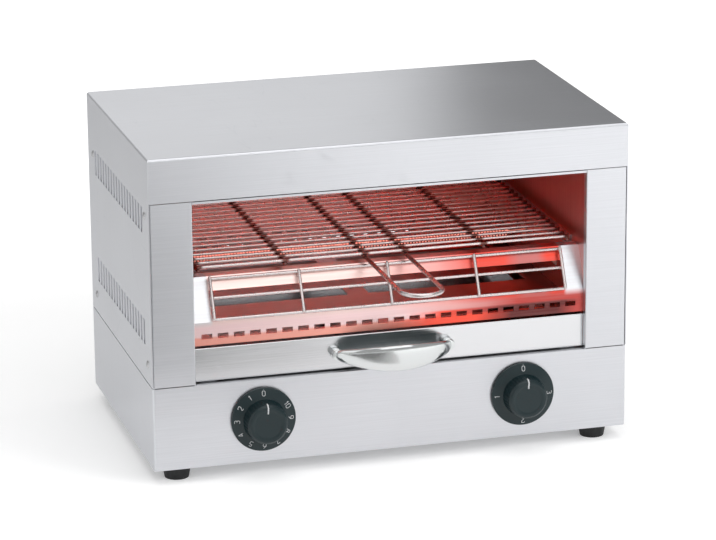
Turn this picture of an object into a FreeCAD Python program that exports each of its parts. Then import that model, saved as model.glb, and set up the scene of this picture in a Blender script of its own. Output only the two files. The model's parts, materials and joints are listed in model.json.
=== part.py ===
import FreeCAD, Part
import math
import os
import re
import Sketcher

# Countertop quartz-tube toaster, one tier, in millimetres.
# X runs to the right, Y to the back and Z up.  The cabinet's own zero is the middle of its front
# face in X, the front face in Y and the underside of the housing in Z.

doc = FreeCAD.newDocument("toaster")
sizes = doc.addObject("Spreadsheet::Sheet", "sizes")

drivers = {
    # casing
    "width": 450, "depth": 268, "height": 291, "foot_height": 14,
    "gauge": 1, "gap": 0.3, "seam": 0.8, "bend": 2.5,
    "base_height": 78, "base_return": 7, "band_height": 41,
    "window_half": 185, "window_top": 247, "window_lip": 2.4, "header_back": 19,
    "post_return": 6.7, "post_flange": 26, "flange": 12, "back_flange": 28,
    "louvre_first": 27, "louvre_pitch": 12, "louvre_count": 18, "louvre_slot": 6, "louvre_length": 24,
    "louvre_depth": 3, "louvre_low": 112.5, "louvre_rise": 105,
    "vent_width": 4, "vent_length": 32, "vent_pitch": 14, "vent_count": 14, "vent_low": 96, "vent_rise": 88,
    "floor_vent_first": -160, "floor_vent_front": 60, "floor_vent_length": 60, "floor_vent_count": 8,
    "floor_vent_shift": 222,
    # toasting chamber
    "wall_back": 250, "wall_top": 270, "wall_clearance": 1.3, "wall_flange": 10.7,
    "slot_length": 10, "slot_height": 3, "slot_pitch": 15, "slot_low": 124,
    "slot_columns": 23, "slot_rows": 4,
    "trough_half": 17, "trough_slope": 14, "trough_rise": 13,
    "plate_top_y": 26, "plate_top_z": 172, "plate_foot_y": 7, "plate_foot_z": 134.5,
    "heater_floor": 113, "heater_back": 246, "heater_rear_lip": 8, "heater_window_half": 167,
    "heater_window_low": 137.5, "heater_window_top": 160, "lip_slot_low": 119, "lip_slot_height": 4.5,
    "crumb_slot_inner": 10, "crumb_slot_outer": 165, "crumb_slot_front": 28, "crumb_slot_depth": 30,
    "rail_radius": 1.5, "guard_half": 166, "guard_stand": 3.6,
    "grid_reach": 36, "grid_rows": 4, "grid_columns": 3,
    # shelf
    "rack_half": 175, "rack_front": 25, "rack_back": 245, "rack_level": 178,
    "rack_wire": 1.5, "rack_rod": 2, "rack_count": 17, "rack_inner": 94, "rack_weld": 0.3,
    "grip_half": 19, "grip_reach": 108, "grip_radius": 2, "grip_bend": 18,
    "runner_top": 175.7, "runner_front": 45, "runner_clearance": 5,
    # heating
    "tube_radius": 5.5, "tube_wall": 1, "tube_half": 196, "tube_front": 95, "tube_pitch": 90,
    "tube_low": 142, "tube_rise": 117, "winding_radius": 3.5, "winding_half": 170, "pin_radius": 1.5,
    "cap_half": 7.5, "cap_rim": 2, "cap_rim_width": 4, "cap_end": 5, "bar_half": 4,
    "lead_x": 207, "lead_y": 60, "lead_hole": 5, "lead_spread": 3, "lead_radius": 1.3, "lead_bend": 5,
    # crumb tray
    "tray_level": 79.5, "tray_front_top": 110.5, "tray_front_y": 7, "tray_half": 178, "tray_wall": 12,
    "tray_back": 238, "tray_ledge": 14, "tray_guide": 9,
    "handle_half": 53, "handle_reach": 28, "handle_height": 24, "handle_tip": 9, "handle_level": 95,
    "handle_gauge": 2.5, "stud_radius": 5.5,
    # controls
    "control_x": 123.5, "control_z": 41,
    "control_screw": 14, "control_screw_radius": 1.5, "control_head": 0.6,
    "skirt_radius": 30, "skirt_depth": 3.4, "cap_radius": 20, "knob_reach": 21, "knob_bore": 15,
    "index_half": 1.2, "shaft_radius": 3, "shaft_play": 0.05, "shaft_flat": 0.8, "shaft_back": 25,
    "case_half": 22, "case_back": 28, "case_drum": 18, "drum_back": 36, "blade_back": 44,
    "blade_half": 0.4, "blade_width": 6, "blade_place": 12,
    "switch_head": 17, "switch_body": 15, "head_back": 10, "contact_x": 9, "contact_z": 7,
    "block_left": -150, "block_right": -100, "block_front": 205, "block_back": 229, "block_step": 10,
    "block_height": 18, "block_ledge": 6, "block_pitch": 10, "block_ways": 5, "block_well": 3,
    "gland_x": -165, "gland_z": 36, "gland_bore": 4, "gland_radius": 8, "gland_reach": 18, "gland_neck": 9,
    "gland_nut": 5, "gland_hex": 3,
    # feet and fasteners
    "foot_x": 200, "foot_front": 22, "foot_back": 246, "foot_top": 14, "foot_bottom": 12,
    "foot_hole": 2.2, "foot_well": 5, "foot_well_depth": 6, "foot_screw_length": 15,
    "nut_half": 3.5, "nut_height": 3.2,
    "screw_front": 17, "screw_back": 245, "screw_low": 97, "screw_high": 236, "screw_radius": 2,
    "screw_play": 0.1, "screw_reach": 5, "head_radius": 3.6, "head_height": 1.4,
    "floor_screw_x": 190, "floor_screw_z": 10, "floor_tab": 7,
}
for line, (word, worth) in enumerate(drivers.items(), start=1):
    sizes.set("A%d" % line, word)
    sizes.set("B%d" % line, str(worth))
    sizes.setAlias("B%d" % line, word)
doc.recompute()

half = "width / 2"
inner_half = "(width / 2 - gauge - gap)"
wall_half = "(window_half + wall_clearance)"
wall_front = "(post_return + gap)"
wall_edge = "(window_half + wall_clearance + wall_flange)"
front_place = "(grip_reach + grip_radius - depth - gland_reach) / 2"

sides = ("-", "")
stud_places = [f"{side}handle_half" for side in sides]
floor_screws = ["-floor_screw_x", "0", "floor_screw_x"]
foot_places = [(f"{side}foot_x", back) for side in sides for back in ("foot_front", "foot_back")]
side_screw_places = [(back, up) for back in ("screw_front", "screw_back")
                     for up in ("screw_low", "screw_high")]
tube_places = [(f"tube_front + {column} * tube_pitch", f"tube_low + {row} * tube_rise")
               for column in (0, 1) for row in (0, 1)]


def bound(text):
    """Turn an expression in plain size names into one that reads the sheet."""
    def named(word):
        return ("sizes." if word.group() in drivers else "") + word.group()
    return re.sub(r"[a-z]\w*", named, str(text))


def value(text):
    return float(sizes.evalExpression(bound(text)))


# Sketch figures: each one returns a function that draws it, tied to the sheet, in a given sketch.

def tie(sketch, kind, *references):
    """Add one dimension whose value is an expression of the sheet."""
    text = references[-1]
    number = sketch.addConstraint(Sketcher.Constraint(kind, *references[:-1], value(text)))
    sketch.setExpression("Constraints[%d]" % number, bound(text))


def tie_point(sketch, line, end, across, up):
    tie(sketch, "DistanceX", -1, 1, line, end, across)
    tie(sketch, "DistanceY", -1, 1, line, end, up)


def outline(*corners):
    """A closed figure of straight lines through the corners, each an (across, up) pair."""
    def draw(sketch):
        spots = [FreeCAD.Vector(value(across), value(up), 0) for across, up in corners]
        lines = [sketch.addGeometry(Part.LineSegment(a, b)) for a, b in zip(spots, spots[1:] + spots[:1])]
        for line, following in zip(lines, lines[1:] + lines[:1]):
            sketch.addConstraint(Sketcher.Constraint("Coincident", line, 2, following, 1))
        for line, (across, up) in zip(lines, corners):
            tie_point(sketch, line, 1, across, up)
    return draw


def rectangle(left, right, low, high):
    return outline((left, low), (right, low), (right, high), (left, high))


def circle(across, up, radius):
    def draw(sketch):
        centre = FreeCAD.Vector(value(across), value(up), 0)
        ring = sketch.addGeometry(Part.Circle(centre, FreeCAD.Vector(0, 0, 1), value(radius)))
        tie_point(sketch, ring, 3, across, up)
        tie(sketch, "Radius", ring, radius)
    return draw


def ring_of_flats(across, up, radius, flats=8):
    """A round wire drawn as a regular figure whose flats lie at the radius, one of them on top."""
    reach = f"(({radius}) / cos({180 / flats}))"
    turns = [360 * (flat + 0.5) / flats for flat in range(flats)]
    return outline(*[(f"({across}) + {reach} * cos({turn})", f"({up}) + {reach} * sin({turn})")
                     for turn in turns])


# Body features.  Pads and pockets run from one level to a higher one along the plane's own axis.

planes = {"top": "XY_Plane", "front": "XZ_Plane", "side": "YZ_Plane"}


def new_body(name):
    body = doc.addObject("PartDesign::Body", name)
    body.Label = name
    return body


def origin_part(body, role):
    return [part for part in body.Origin.OriginFeatures if part.Role == role][0]


def add_sketch(body, plane, level, *figures):
    sketch = body.newObject("Sketcher::SketchObject", "outline")
    sketch.AttachmentSupport = [(origin_part(body, planes[plane]), "")]
    sketch.MapMode = "FlatFace"
    sign = "-" if plane == "front" else ""
    sketch.setExpression("AttachmentOffset.Base.z", bound(f"{sign}({level})"))
    for draw in figures:
        draw(sketch)
    return sketch


def add_feature(body, kind, sketch):
    feature = body.newObject("PartDesign::" + kind, kind.lower())
    feature.Profile = sketch
    body.Tip = feature
    return feature


def pad(body, plane, start, end, *figures):
    feature = add_feature(body, "Pad", add_sketch(body, plane, start, *figures))
    feature.setExpression("Length", bound(f"({end}) - ({start})"))
    feature.Reversed = plane == "front"
    return feature


def pocket(body, plane, start, end, *figures):
    doc.recompute()
    before = body.Shape.Volume
    feature = add_feature(body, "Pocket", add_sketch(body, plane, start, *figures))
    feature.setExpression("Length", bound(f"({end}) - ({start})"))
    feature.Reversed = plane != "front"
    doc.recompute()
    if body.Shape.Volume >= before:
        raise RuntimeError("a pocket of " + body.Label + " cuts nothing")
    return feature


def repeat(body, feature, row, column=None):
    """Copy a feature in a row, or in a row and columns: each an (axis, step, count) of its sketch."""
    pattern = body.newObject("PartDesign::LinearPattern", "row")
    pattern.Originals = [feature]
    for ending, run in (("", row), ("2", column)):
        if run:
            axis, step, count = run
            setattr(pattern, "Direction" + ending, (feature.Profile[0], [axis]))
            pattern.setExpression("Length" + ending, bound(f"({step}) * ({count} - 1)"))
            pattern.setExpression("Occurrences" + ending, bound(count))
    body.Tip = pattern
    return pattern


def mirror(body, feature):
    """Copy a feature to the other side of the cabinet's middle."""
    copy = body.newObject("PartDesign::Mirrored", "mirror")
    copy.Originals = [feature]
    copy.MirrorPlane = (origin_part(body, "YZ_Plane"), [""])
    body.Tip = copy
    return copy


def revolve(body, plane, level, axis, *figures):
    feature = add_feature(body, "Revolution", add_sketch(body, plane, level, *figures))
    feature.ReferenceAxis = (feature.Profile[0], [axis])
    feature.Angle = 360
    return feature


def edges_at(shape, **place):
    """Names of the straight edges whose middle lies at the given x, y or z."""
    found = []
    for number, edge in enumerate(shape.Edges, start=1):
        middle = edge.BoundBox.Center
        if all(abs(getattr(middle, axis) - value(spot)) < 0.01 for axis, spot in place.items()):
            found.append("Edge%d" % number)
    return found


def dress(body, kind, size, *places):
    """Fillet or chamfer the edges of the last feature that lie at the given places."""
    doc.recompute()
    base = body.Tip
    names = [name for place in places for name in edges_at(base.Shape, **place)]
    if not names:
        raise RuntimeError("no edge to dress on " + body.Label)
    feature = body.newObject("PartDesign::" + kind, kind.lower())
    feature.Base = (base, names)
    feature.setExpression("Radius" if kind == "Fillet" else "Size", bound(size))
    body.Tip = feature
    return feature


def seat(piece, across="0", back="0", up="0"):
    """Put a piece at its place in the cabinet."""
    piece.setExpression("Placement.Base.x", bound(across))
    piece.setExpression("Placement.Base.y", bound(f"{front_place} + ({back})"))
    piece.setExpression("Placement.Base.z", bound(f"foot_height + ({up})"))
    pieces.append(piece)
    return piece


pieces = []


# Wires that bend in space: straight runs joined by tangent arcs.

def bent_path(points, bend):
    edges = []
    start = points[0]
    for before, corner, after in zip(points, points[1:], points[2:]):
        arriving = (corner - before).normalize()
        leaving = (after - corner).normalize()
        turn = arriving.getAngle(leaving)
        back_off = bend * math.tan(turn / 2)
        first = corner - arriving * back_off
        last = corner + leaving * back_off
        inward = (leaving - arriving).normalize()
        crown = corner + inward * (bend / math.cos(turn / 2) - bend)
        edges.append(Part.LineSegment(start, first).toShape())
        edges.append(Part.Arc(first, crown, last).toShape())
        start = last
    edges.append(Part.LineSegment(start, points[-1]).toShape())
    return Part.Wire(edges)


def bent_wire(name, points, radius, bend, flats):
    """A wire along a bent path, given by its corner points; its section has flats at the radius."""
    path = bent_path([FreeCAD.Vector(*[value(part) for part in point]) for point in points], value(bend))
    start = path.Vertexes[0].Point
    heading = path.Edges[0].tangentAt(path.Edges[0].FirstParameter)
    reach = value(radius) / math.cos(math.pi / flats)
    spoke = heading.cross(FreeCAD.Vector(0.3, 0.5, 0.8)).normalize() * reach
    turns = [FreeCAD.Rotation(heading, 360 * corner / flats) for corner in range(flats)]
    ring = [start + turn.multVec(spoke) for turn in turns]
    piece = doc.addObject("Part::Feature", name)
    piece.Label = name
    piece.Shape = path.makePipeShell([Part.makePolygon(ring + ring[:1])], True, False)
    return piece


def straight_wire(start, end, radius, flats=8):
    """A straight wire between two points, as a regular prism with flats at its radius."""
    prism = doc.addObject("Part::Prism", "wire")
    prism.Polygon = flats
    prism.setExpression("Circumradius", bound(f"({radius}) / cos({180 / flats})"))
    foot = FreeCAD.Vector(*[value(part) for part in start])
    top = FreeCAD.Vector(*[value(part) for part in end])
    prism.Height = (top - foot).Length
    spin = FreeCAD.Rotation(FreeCAD.Vector(0, 0, 1), 180 / flats)
    lean = FreeCAD.Rotation(FreeCAD.Vector(0, 0, 1), top - foot)
    prism.Placement = FreeCAD.Placement(foot, lean.multiply(spin))
    return prism


def welded(name, wires):
    frame = doc.addObject("Part::MultiFuse", name)
    frame.Label = name
    frame.Shapes = wires
    return frame


# Casing

def outer_cover():
    """Roof, both sides and the front band, folded from one sheet, with two rows of louvres a side."""
    body = new_body("outer_cover")
    low = "(base_height + seam)"
    pad(body, "front", "0", "depth", outline(
        (f"-{half}", low), (f"-{half}", "height"), (half, "height"), (half, low),
        (f"{half} - gauge", low), (f"{half} - gauge", "height - gauge"),
        (f"-({half} - gauge)", "height - gauge"), (f"-({half} - gauge)", low)))
    band = "(height - band_height)"
    pad(body, "front", "0", "gauge", rectangle(f"-{half}", half, band, "height"))
    pad(body, "front", "gauge / 2", "post_return",
        rectangle(f"-{inner_half}", inner_half, band, f"{band} + gauge"))
    dress(body, "Fillet", "bend",
          {"x": half, "z": "height"}, {"x": f"-{half}", "z": "height"}, {"y": "0", "z": "height"})
    dress(body, "Fillet", "gauge / 2", {"y": "0", "z": band})
    slot_end = "(louvre_first + louvre_slot)"
    slots = pocket(body, "side", f"-{half} - gauge", f"{half} + gauge",
                   rectangle("louvre_first", slot_end, "louvre_low", "louvre_low + louvre_length"))
    repeat(body, slots, ("H_Axis", "louvre_pitch", "louvre_count"), ("V_Axis", "louvre_rise", "2"))
    vanes = []
    for side in sides:
        skin = f"{side}({half})"
        inside = f"{side}({half} - gauge)"
        tip = f"{side}({half} - louvre_depth)"
        deep_tip = f"{side}({half} - louvre_depth - gauge)"
        vanes.append(pad(body, "top", "louvre_low", "louvre_low + louvre_length", outline(
            (skin, "louvre_first - gauge / 4"), (tip, f"{slot_end} - gauge"),
            (deep_tip, f"{slot_end} - gauge"), (inside, "louvre_first - gauge / 4"))))
    for vane in vanes:
        repeat(body, vane, ("V_Axis", "louvre_pitch", "louvre_count"), ("N_Axis", "louvre_rise", "2"))
    pocket(body, "side", f"-{half} - gauge", f"{half} + gauge",
           *[ring_of_flats(back, up, "screw_radius + screw_play") for back, up in side_screw_places])
    return seat(body)


def back_panel():
    """Flat back with flanges turned forward into the cover, two rows of vents and the gland's hole."""
    body = new_body("back_panel")
    top = "(height - gauge - gap)"
    pad(body, "front", "depth - gauge", "depth", rectangle(f"-{inner_half}", inner_half, "gauge", top))
    for side in sides:
        edge = sorted((f"{side}({inner_half})", f"{side}({inner_half} - gauge)"), key=value)
        pad(body, "front", "depth - back_flange", "depth - gauge / 2",
            rectangle(edge[0], edge[1], "base_height + 2 * gauge", top))
    pad(body, "front", "depth - back_flange", "depth - gauge / 2",
        rectangle(f"-{inner_half}", inner_half, f"{top} - gauge", top))
    first = "(-vent_pitch * (vent_count - 1) / 2 - vent_width / 2)"
    slot = pocket(body, "front", "depth - 2 * gauge", "depth + gauge",
                  rectangle(first, f"{first} + vent_width", "vent_low", "vent_low + vent_length"))
    repeat(body, slot, ("H_Axis", "vent_pitch", "vent_count"), ("V_Axis", "vent_rise", "2"))
    pocket(body, "front", "depth - 2 * gauge", "depth + gauge", circle("gland_x", "gland_z", "gland_radius"),
           *[ring_of_flats(across, "floor_screw_z", "screw_radius + screw_play")
             for across in floor_screws])
    pocket(body, "side", f"-{half}", half,
           *[ring_of_flats("screw_back", up, "screw_radius") for up in ("screw_low", "screw_high")])
    return seat(body)


def base_housing():
    """Front and both sides of the control compartment, bent from one strip with turned-in edges."""
    body = new_body("base_housing")
    pad(body, "top", "0", "base_height", outline(
        (f"-{half}", "depth"), (f"-{half}", "0"), (half, "0"), (half, "depth"),
        (f"{half} - gauge", "depth"), (f"{half} - gauge", "gauge"),
        (f"-({half} - gauge)", "gauge"), (f"-({half} - gauge)", "depth")))
    dress(body, "Fillet", "bend", {"x": half, "y": "0"}, {"x": f"-{half}", "y": "0"})
    dress(body, "Fillet", "bend - gauge",
          {"x": f"{half} - gauge", "y": "gauge"}, {"x": f"-({half} - gauge)", "y": "gauge"})
    inner = f"({half} - base_return)"
    outer = f"({half} - gauge / 2)"
    back = "(depth - 2 * gauge)"
    for low in ("0", "base_height - 2 * gauge"):
        pad(body, "top", low, f"{low} + gauge", outline(
            (f"-{outer}", back), (f"-{outer}", "bend"), (f"-({outer} - bend)", "gauge / 2"),
            (f"{outer} - bend", "gauge / 2"), (outer, "bend"), (outer, back),
            (inner, back), (inner, "base_return"), (f"-{inner}", "base_return"), (f"-{inner}", back)))
    for side in sides:
        pocket(body, "front", "-gauge", "2 * gauge",
               circle(f"{side}control_x", "control_z", "shaft_radius * 1.5"),
               *[ring_of_flats(f"{side}control_x {way} control_screw", "control_z", "control_screw_radius")
                 for way in "-+"])
    return seat(body)


def base_floor():
    """Bottom plate on the housing's lower edge, with vents and a tab up to the back panel."""
    body = new_body("base_floor")
    front = "(gauge + gap)"
    pad(body, "top", "gauge", "2 * gauge", rectangle(f"-{inner_half}", inner_half, front, "depth - gauge"))
    tab_half = f"({inner_half} - 2 * flange)"
    pad(body, "front", "depth - 2 * gauge", "depth - gauge",
        rectangle(f"-{tab_half}", tab_half, "gauge * 1.5", "floor_screw_z + floor_tab"))
    dress(body, "Chamfer", "bend", {"x": inner_half, "y": front}, {"x": f"-{inner_half}", "y": front})
    vent_back = "floor_vent_front + floor_vent_length"
    vents = [rectangle(left, f"{left} + vent_width", "floor_vent_front", vent_back)
             for left in ("floor_vent_first", "floor_vent_first + floor_vent_shift")]
    slots = pocket(body, "top", "0", "3 * gauge", *vents)
    repeat(body, slots, ("H_Axis", "vent_pitch", "floor_vent_count"))
    pocket(body, "top", "0", "3 * gauge",
           *[ring_of_flats(across, back, "screw_radius") for across, back in foot_places])
    pocket(body, "front", "depth - 3 * gauge", "depth",
           *[ring_of_flats(across, "floor_screw_z", "screw_radius") for across in floor_screws])
    return seat(body)


def deck():
    """Floor of the toasting chamber, on the housing's upper edge."""
    body = new_body("deck")
    front = "(gauge + gap)"
    pad(body, "top", "base_height - gauge", "base_height",
        rectangle(f"-{inner_half}", inner_half, front, "depth - gauge"))
    dress(body, "Chamfer", "bend", {"x": inner_half, "y": front}, {"x": f"-{inner_half}", "y": front})
    pocket(body, "top", "base_height - 2 * gauge", "base_height + gauge",
           circle("-lead_x", "lead_y", "lead_hole"), circle("lead_x", "lead_y", "lead_hole"))
    return seat(body)


def post(name, side):
    """Channel beside the window: front web, a return along the window and a flange to the cover."""
    body = new_body(name)
    edge = f"{side}({inner_half})"
    flange_face = f"{side}({inner_half} - gauge)"
    window = f"{side}window_half"
    return_face = f"{side}(window_half + gauge)"
    top = "(height - band_height - seam / 2)"
    pad(body, "top", "base_height", top, outline(
        (window, "0"), (edge, "0"), (edge, "post_flange"), (flange_face, "post_flange"),
        (flange_face, "gauge"), (return_face, "gauge"), (return_face, "post_return"),
        (window, "post_return")))
    dress(body, "Fillet", "gauge", {"x": edge, "y": "0"}, {"x": window, "y": "0"})
    ends = sorted((f"{side}(window_half - gauge)", f"{side}({half})"), key=value)
    pocket(body, "top", "base_height - gauge", "base_height + seam", rectangle(*ends, "-gauge", "gauge"))
    pocket(body, "side", f"-{half}", half,
           *[ring_of_flats("screw_front", up, "screw_radius") for up in ("screw_low", "screw_high")])
    return seat(body)


def window_header():
    """Rail over the window, behind the cover's band; its rear leg reaches the chamber's ceiling."""
    body = new_body("window_header")
    low = "window_top"
    lip = "(window_top + window_lip)"
    rear = "header_back"
    pad(body, "side", "-window_half", "window_half", outline(
        ("0", low), (f"{rear} + gauge", low), (f"{rear} + gauge", "wall_top"), (rear, "wall_top"),
        (rear, f"{low} + gauge"), ("gauge", f"{low} + gauge"), ("gauge", lip), ("0", lip)))
    dress(body, "Fillet", "gauge / 2", {"y": "0", "z": low})
    return seat(body)


# Toasting chamber

def at_tubes(figure):
    """The figure drawn at each of the four tubes, in side view."""
    return [figure(back, up) for back, up in tube_places]


def cap_square(half_width):
    return lambda back, up: rectangle(f"{back} - ({half_width})", f"{back} + ({half_width})",
                                      f"{up} - ({half_width})", f"{up} + ({half_width})")


def chamber_wall(name, side):
    """Side wall with flanges turned outwards at the foot and the top, and holes for the tube ends."""
    body = new_body(name)
    face = f"{side}{wall_half}"
    skin = f"{side}({wall_half} + gauge)"
    edge = f"{side}{wall_edge}"
    pad(body, "front", wall_front, "wall_back", outline(
        (face, "base_height"), (edge, "base_height"), (edge, "base_height + gauge"),
        (skin, "base_height + gauge"), (skin, "wall_top - gauge"), (edge, "wall_top - gauge"),
        (edge, "wall_top"), (face, "wall_top")))
    pocket(body, "side", f"-{half}", half, *at_tubes(cap_square("cap_half")))
    return seat(body)


def chamber_back():
    """Rear wall with punched rows of air slots."""
    body = new_body("chamber_back")
    pad(body, "front", "wall_back", "wall_back + gauge",
        rectangle(f"-{wall_edge}", wall_edge, "base_height", "wall_top"))
    first = "(-slot_pitch * (slot_columns - 1) / 2 - slot_length / 2)"
    slot = pocket(body, "front", "wall_back - gauge", "wall_back + 2 * gauge",
                  rectangle(first, f"{first} + slot_length", "slot_low", "slot_low + slot_height"))
    repeat(body, slot, ("H_Axis", "slot_pitch", "slot_columns"), ("V_Axis", "slot_pitch / 2", "slot_rows"))
    return seat(body)


def upper_reflector():
    """Ceiling sheet on the walls' flanges, pressed up into a trough over each upper tube."""
    body = new_body("upper_reflector")
    skew = "(gauge * tan(atan(trough_rise / trough_slope) / 2))"
    foot = "(trough_half + trough_slope)"
    under = [("header_back", "0")]
    over = [("header_back", "gauge")]
    for column in (0, 1):
        middle = f"(tube_front + {column} * tube_pitch)"
        for reach, level, lean in ((f"-{foot}", "0", "-"), ("-trough_half", "trough_rise", "-"),
                                   ("trough_half", "trough_rise", ""), (foot, "0", "")):
            under.append((f"{middle} + ({reach})", level))
            over.append((f"{middle} + ({reach}) + {lean}{skew}", f"{level} + gauge"))
    under.append(("wall_back + gauge", "0"))
    over.append(("wall_back + gauge", "gauge"))
    corners = [(back, f"wall_top + {up}") for back, up in under + over[::-1]]
    pad(body, "side", f"-{wall_edge}", wall_edge, outline(*corners))
    return seat(body)


def lower_reflector():
    """Trough under the shelf: sloped front plate with a long window, slotted lip, floor and rear lip."""
    body = new_body("lower_reflector")
    rise = "(plate_top_z - plate_foot_z)"
    run = "(plate_top_y - plate_foot_y)"
    foot_skew = f"(gauge * tan(atan({run} / {rise}) / 2))"
    top_skew = f"(gauge * tan(atan({rise} / {run}) / 2))"
    ledge = "(plate_top_y + flange)"
    rear_top = "(heater_floor + heater_rear_lip)"
    pad(body, "side", f"-{wall_half}", wall_half, outline(
        (ledge, "plate_top_z"), ("plate_top_y", "plate_top_z"), ("plate_foot_y", "plate_foot_z"),
        ("plate_foot_y", "heater_floor"), ("heater_back", "heater_floor"), ("heater_back", rear_top),
        ("heater_back - gauge", rear_top), ("heater_back - gauge", "heater_floor + gauge"),
        ("plate_foot_y + gauge", "heater_floor + gauge"),
        ("plate_foot_y + gauge", f"plate_foot_z - {foot_skew}"),
        (f"plate_top_y + {top_skew}", "plate_top_z - gauge"), (ledge, "plate_top_z - gauge")))
    pocket(body, "front", "0", f"{ledge} + gauge",
           rectangle("-heater_window_half", "heater_window_half", "heater_window_low", "heater_window_top"))
    slot_half = "slot_length / 2"
    slot = pocket(body, "front", "plate_foot_y - gauge", "plate_foot_y + 2 * gauge",
                  rectangle(f"-slot_pitch * slot_columns / 2 - {slot_half}",
                            f"-slot_pitch * slot_columns / 2 + {slot_half}",
                            "lip_slot_low", "lip_slot_low + lip_slot_height"))
    repeat(body, slot, ("H_Axis", "slot_pitch", "slot_columns + 1"))
    near, far = "crumb_slot_front", "crumb_slot_front + crumb_slot_depth"
    crumb = pocket(body, "top", "heater_floor - gauge", "heater_floor + 2 * gauge",
                   rectangle("-crumb_slot_outer", "-crumb_slot_inner", near, far),
                   rectangle("crumb_slot_inner", "crumb_slot_outer", near, far))
    repeat(body, crumb, ("V_Axis", "tube_pitch", "3"))
    return seat(body)


def lower_guard():
    """Three rails across the heater's window and five ties that stand on the sloped plate."""
    rise = "(plate_top_z - plate_foot_z)"
    slope = f"atan((plate_top_y - plate_foot_y) / {rise})"

    def on_plate(share, stand):
        """A point this share of the way up the slope, standing off it."""
        back = f"plate_foot_y + (plate_top_y - plate_foot_y) * ({share}) - ({stand}) * cos({slope})"
        up = f"plate_foot_z + {rise} * ({share}) + ({stand}) * sin({slope})"
        return back, up

    def run(first, last):
        wires.append(straight_wire(first, last, "rail_radius"))

    wires = []
    for share in ("0.03", "0.5", "0.92"):
        place = on_plate(share, "guard_stand")
        run(("-guard_half", *place), ("guard_half", *place))
    tie_stand = "guard_stand + 2 * rail_radius - rack_weld"
    for fifth in range(5):
        across = f"guard_half * ({fifth} - 2) / 2"
        run((across, *on_plate("0", tie_stand)), (across, *on_plate("0.97", tie_stand)))
        for share in ("0.045", "0.85"):
            run((across, *on_plate(share, "0")), (across, *on_plate(share, tie_stand)))
    return seat(welded("lower_guard", wires))


def upper_guard():
    """Grid of wires under the upper tubes, its long wires ending on the chamber's walls."""
    wires = []
    level = "(window_top + rail_radius)"
    over = f"({level} + 2 * rail_radius - rack_weld)"
    near = "(tube_front - grid_reach)"
    far = "(tube_front + tube_pitch + grid_reach)"
    rows = int(value("grid_rows"))
    for row in range(rows):
        back = f"{near} + ({far} - {near}) * ({row} + 0.5) / grid_rows"
        wires.append(straight_wire((f"-{wall_half}", back, level), (wall_half, back, level), "rail_radius"))
    columns = int(value("grid_columns"))
    for column in range(columns):
        across = f"guard_half * (2 * ({column} + 0.5) / grid_columns - 1)"
        wires.append(straight_wire((across, near, over), (across, far, over), "rail_radius"))
    return seat(welded("upper_guard", wires))


def rack():
    """Welded wire shelf: cross wires lying on the lengthways rods."""
    body = new_body("rack")
    over = "(rack_level + rack_rod + rack_wire - rack_weld)"
    cross = pad(body, "side", "-(rack_half + rack_rod)", "rack_half + rack_rod",
                ring_of_flats("rack_front", over, "rack_wire"))
    repeat(body, cross, ("H_Axis", "(rack_back - rack_front) / (rack_count - 1)", "rack_count"))
    pad(body, "front", "rack_front - rack_wire", "rack_back + rack_wire",
        *[ring_of_flats(across, "rack_level", "rack_rod")
          for across in ("-rack_half", "-rack_inner", "rack_inner", "rack_half")])
    return seat(body)


def rack_handle():
    """One rod bent to a long U under the middle of the shelf, its bow standing out at the front."""
    level = "rack_level"
    points = [("grip_half", "rack_back", level), ("grip_half", "-grip_reach", level),
              ("-grip_half", "-grip_reach", level), ("-grip_half", "rack_back", level)]
    return seat(bent_wire("rack_handle", points, "grip_radius", "grip_bend", 8))


def rack_runner(name, side):
    """Angle along the wall that the shelf's outer rod slides on."""
    body = new_body(name)
    face = f"{side}{wall_half}"
    skin = f"{side}({wall_half} - gauge)"
    edge = f"{side}(rack_half - runner_clearance)"
    pad(body, "front", "runner_front", "wall_back - 2 * gauge", outline(
        (face, "runner_top"), (edge, "runner_top"), (edge, "runner_top - gauge"),
        (skin, "runner_top - gauge"), (skin, "runner_top - flange"), (face, "runner_top - flange")))
    return seat(body)


# Heating

def quartz_tube(name, back, up):
    body = new_body(name)
    pad(body, "side", "-tube_half", "tube_half",
        circle(back, up, "tube_radius"), circle(back, up, "tube_radius - tube_wall"))
    return seat(body)


def heating_element(name, back, up):
    """Resistance winding as its envelope, with a straight pin at each end."""
    body = new_body(name)
    pad(body, "side", "-(tube_half + flange)", "tube_half + flange", ring_of_flats(back, up, "pin_radius"))
    pad(body, "side", "-winding_half", "winding_half", ring_of_flats(back, up, "winding_radius", 12))
    return seat(body)


def ceramic_end_caps():
    """Square ceramic caps in the walls' holes; each holds a tube end and lets its pin through."""
    body = new_body("ceramic_end_caps")
    skin = f"({wall_half} + gauge)"
    collar = at_tubes(cap_square("cap_half"))
    rim = at_tubes(cap_square("cap_half + cap_rim"))
    tube_hole = at_tubes(lambda back, up: ring_of_flats(back, up, "tube_radius", 12))
    pin_hole = at_tubes(lambda back, up: ring_of_flats(back, up, "pin_radius"))
    pads = [pad(body, "side", skin, f"{skin} + cap_rim_width", *rim, *tube_hole),
            pad(body, "side", f"{wall_half} - gauge", "tube_half", *collar, *tube_hole),
            pad(body, "side", "tube_half", "tube_half + cap_end", *collar, *pin_hole)]
    for feature in pads:
        mirror(body, feature)
    return seat(body)


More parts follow.
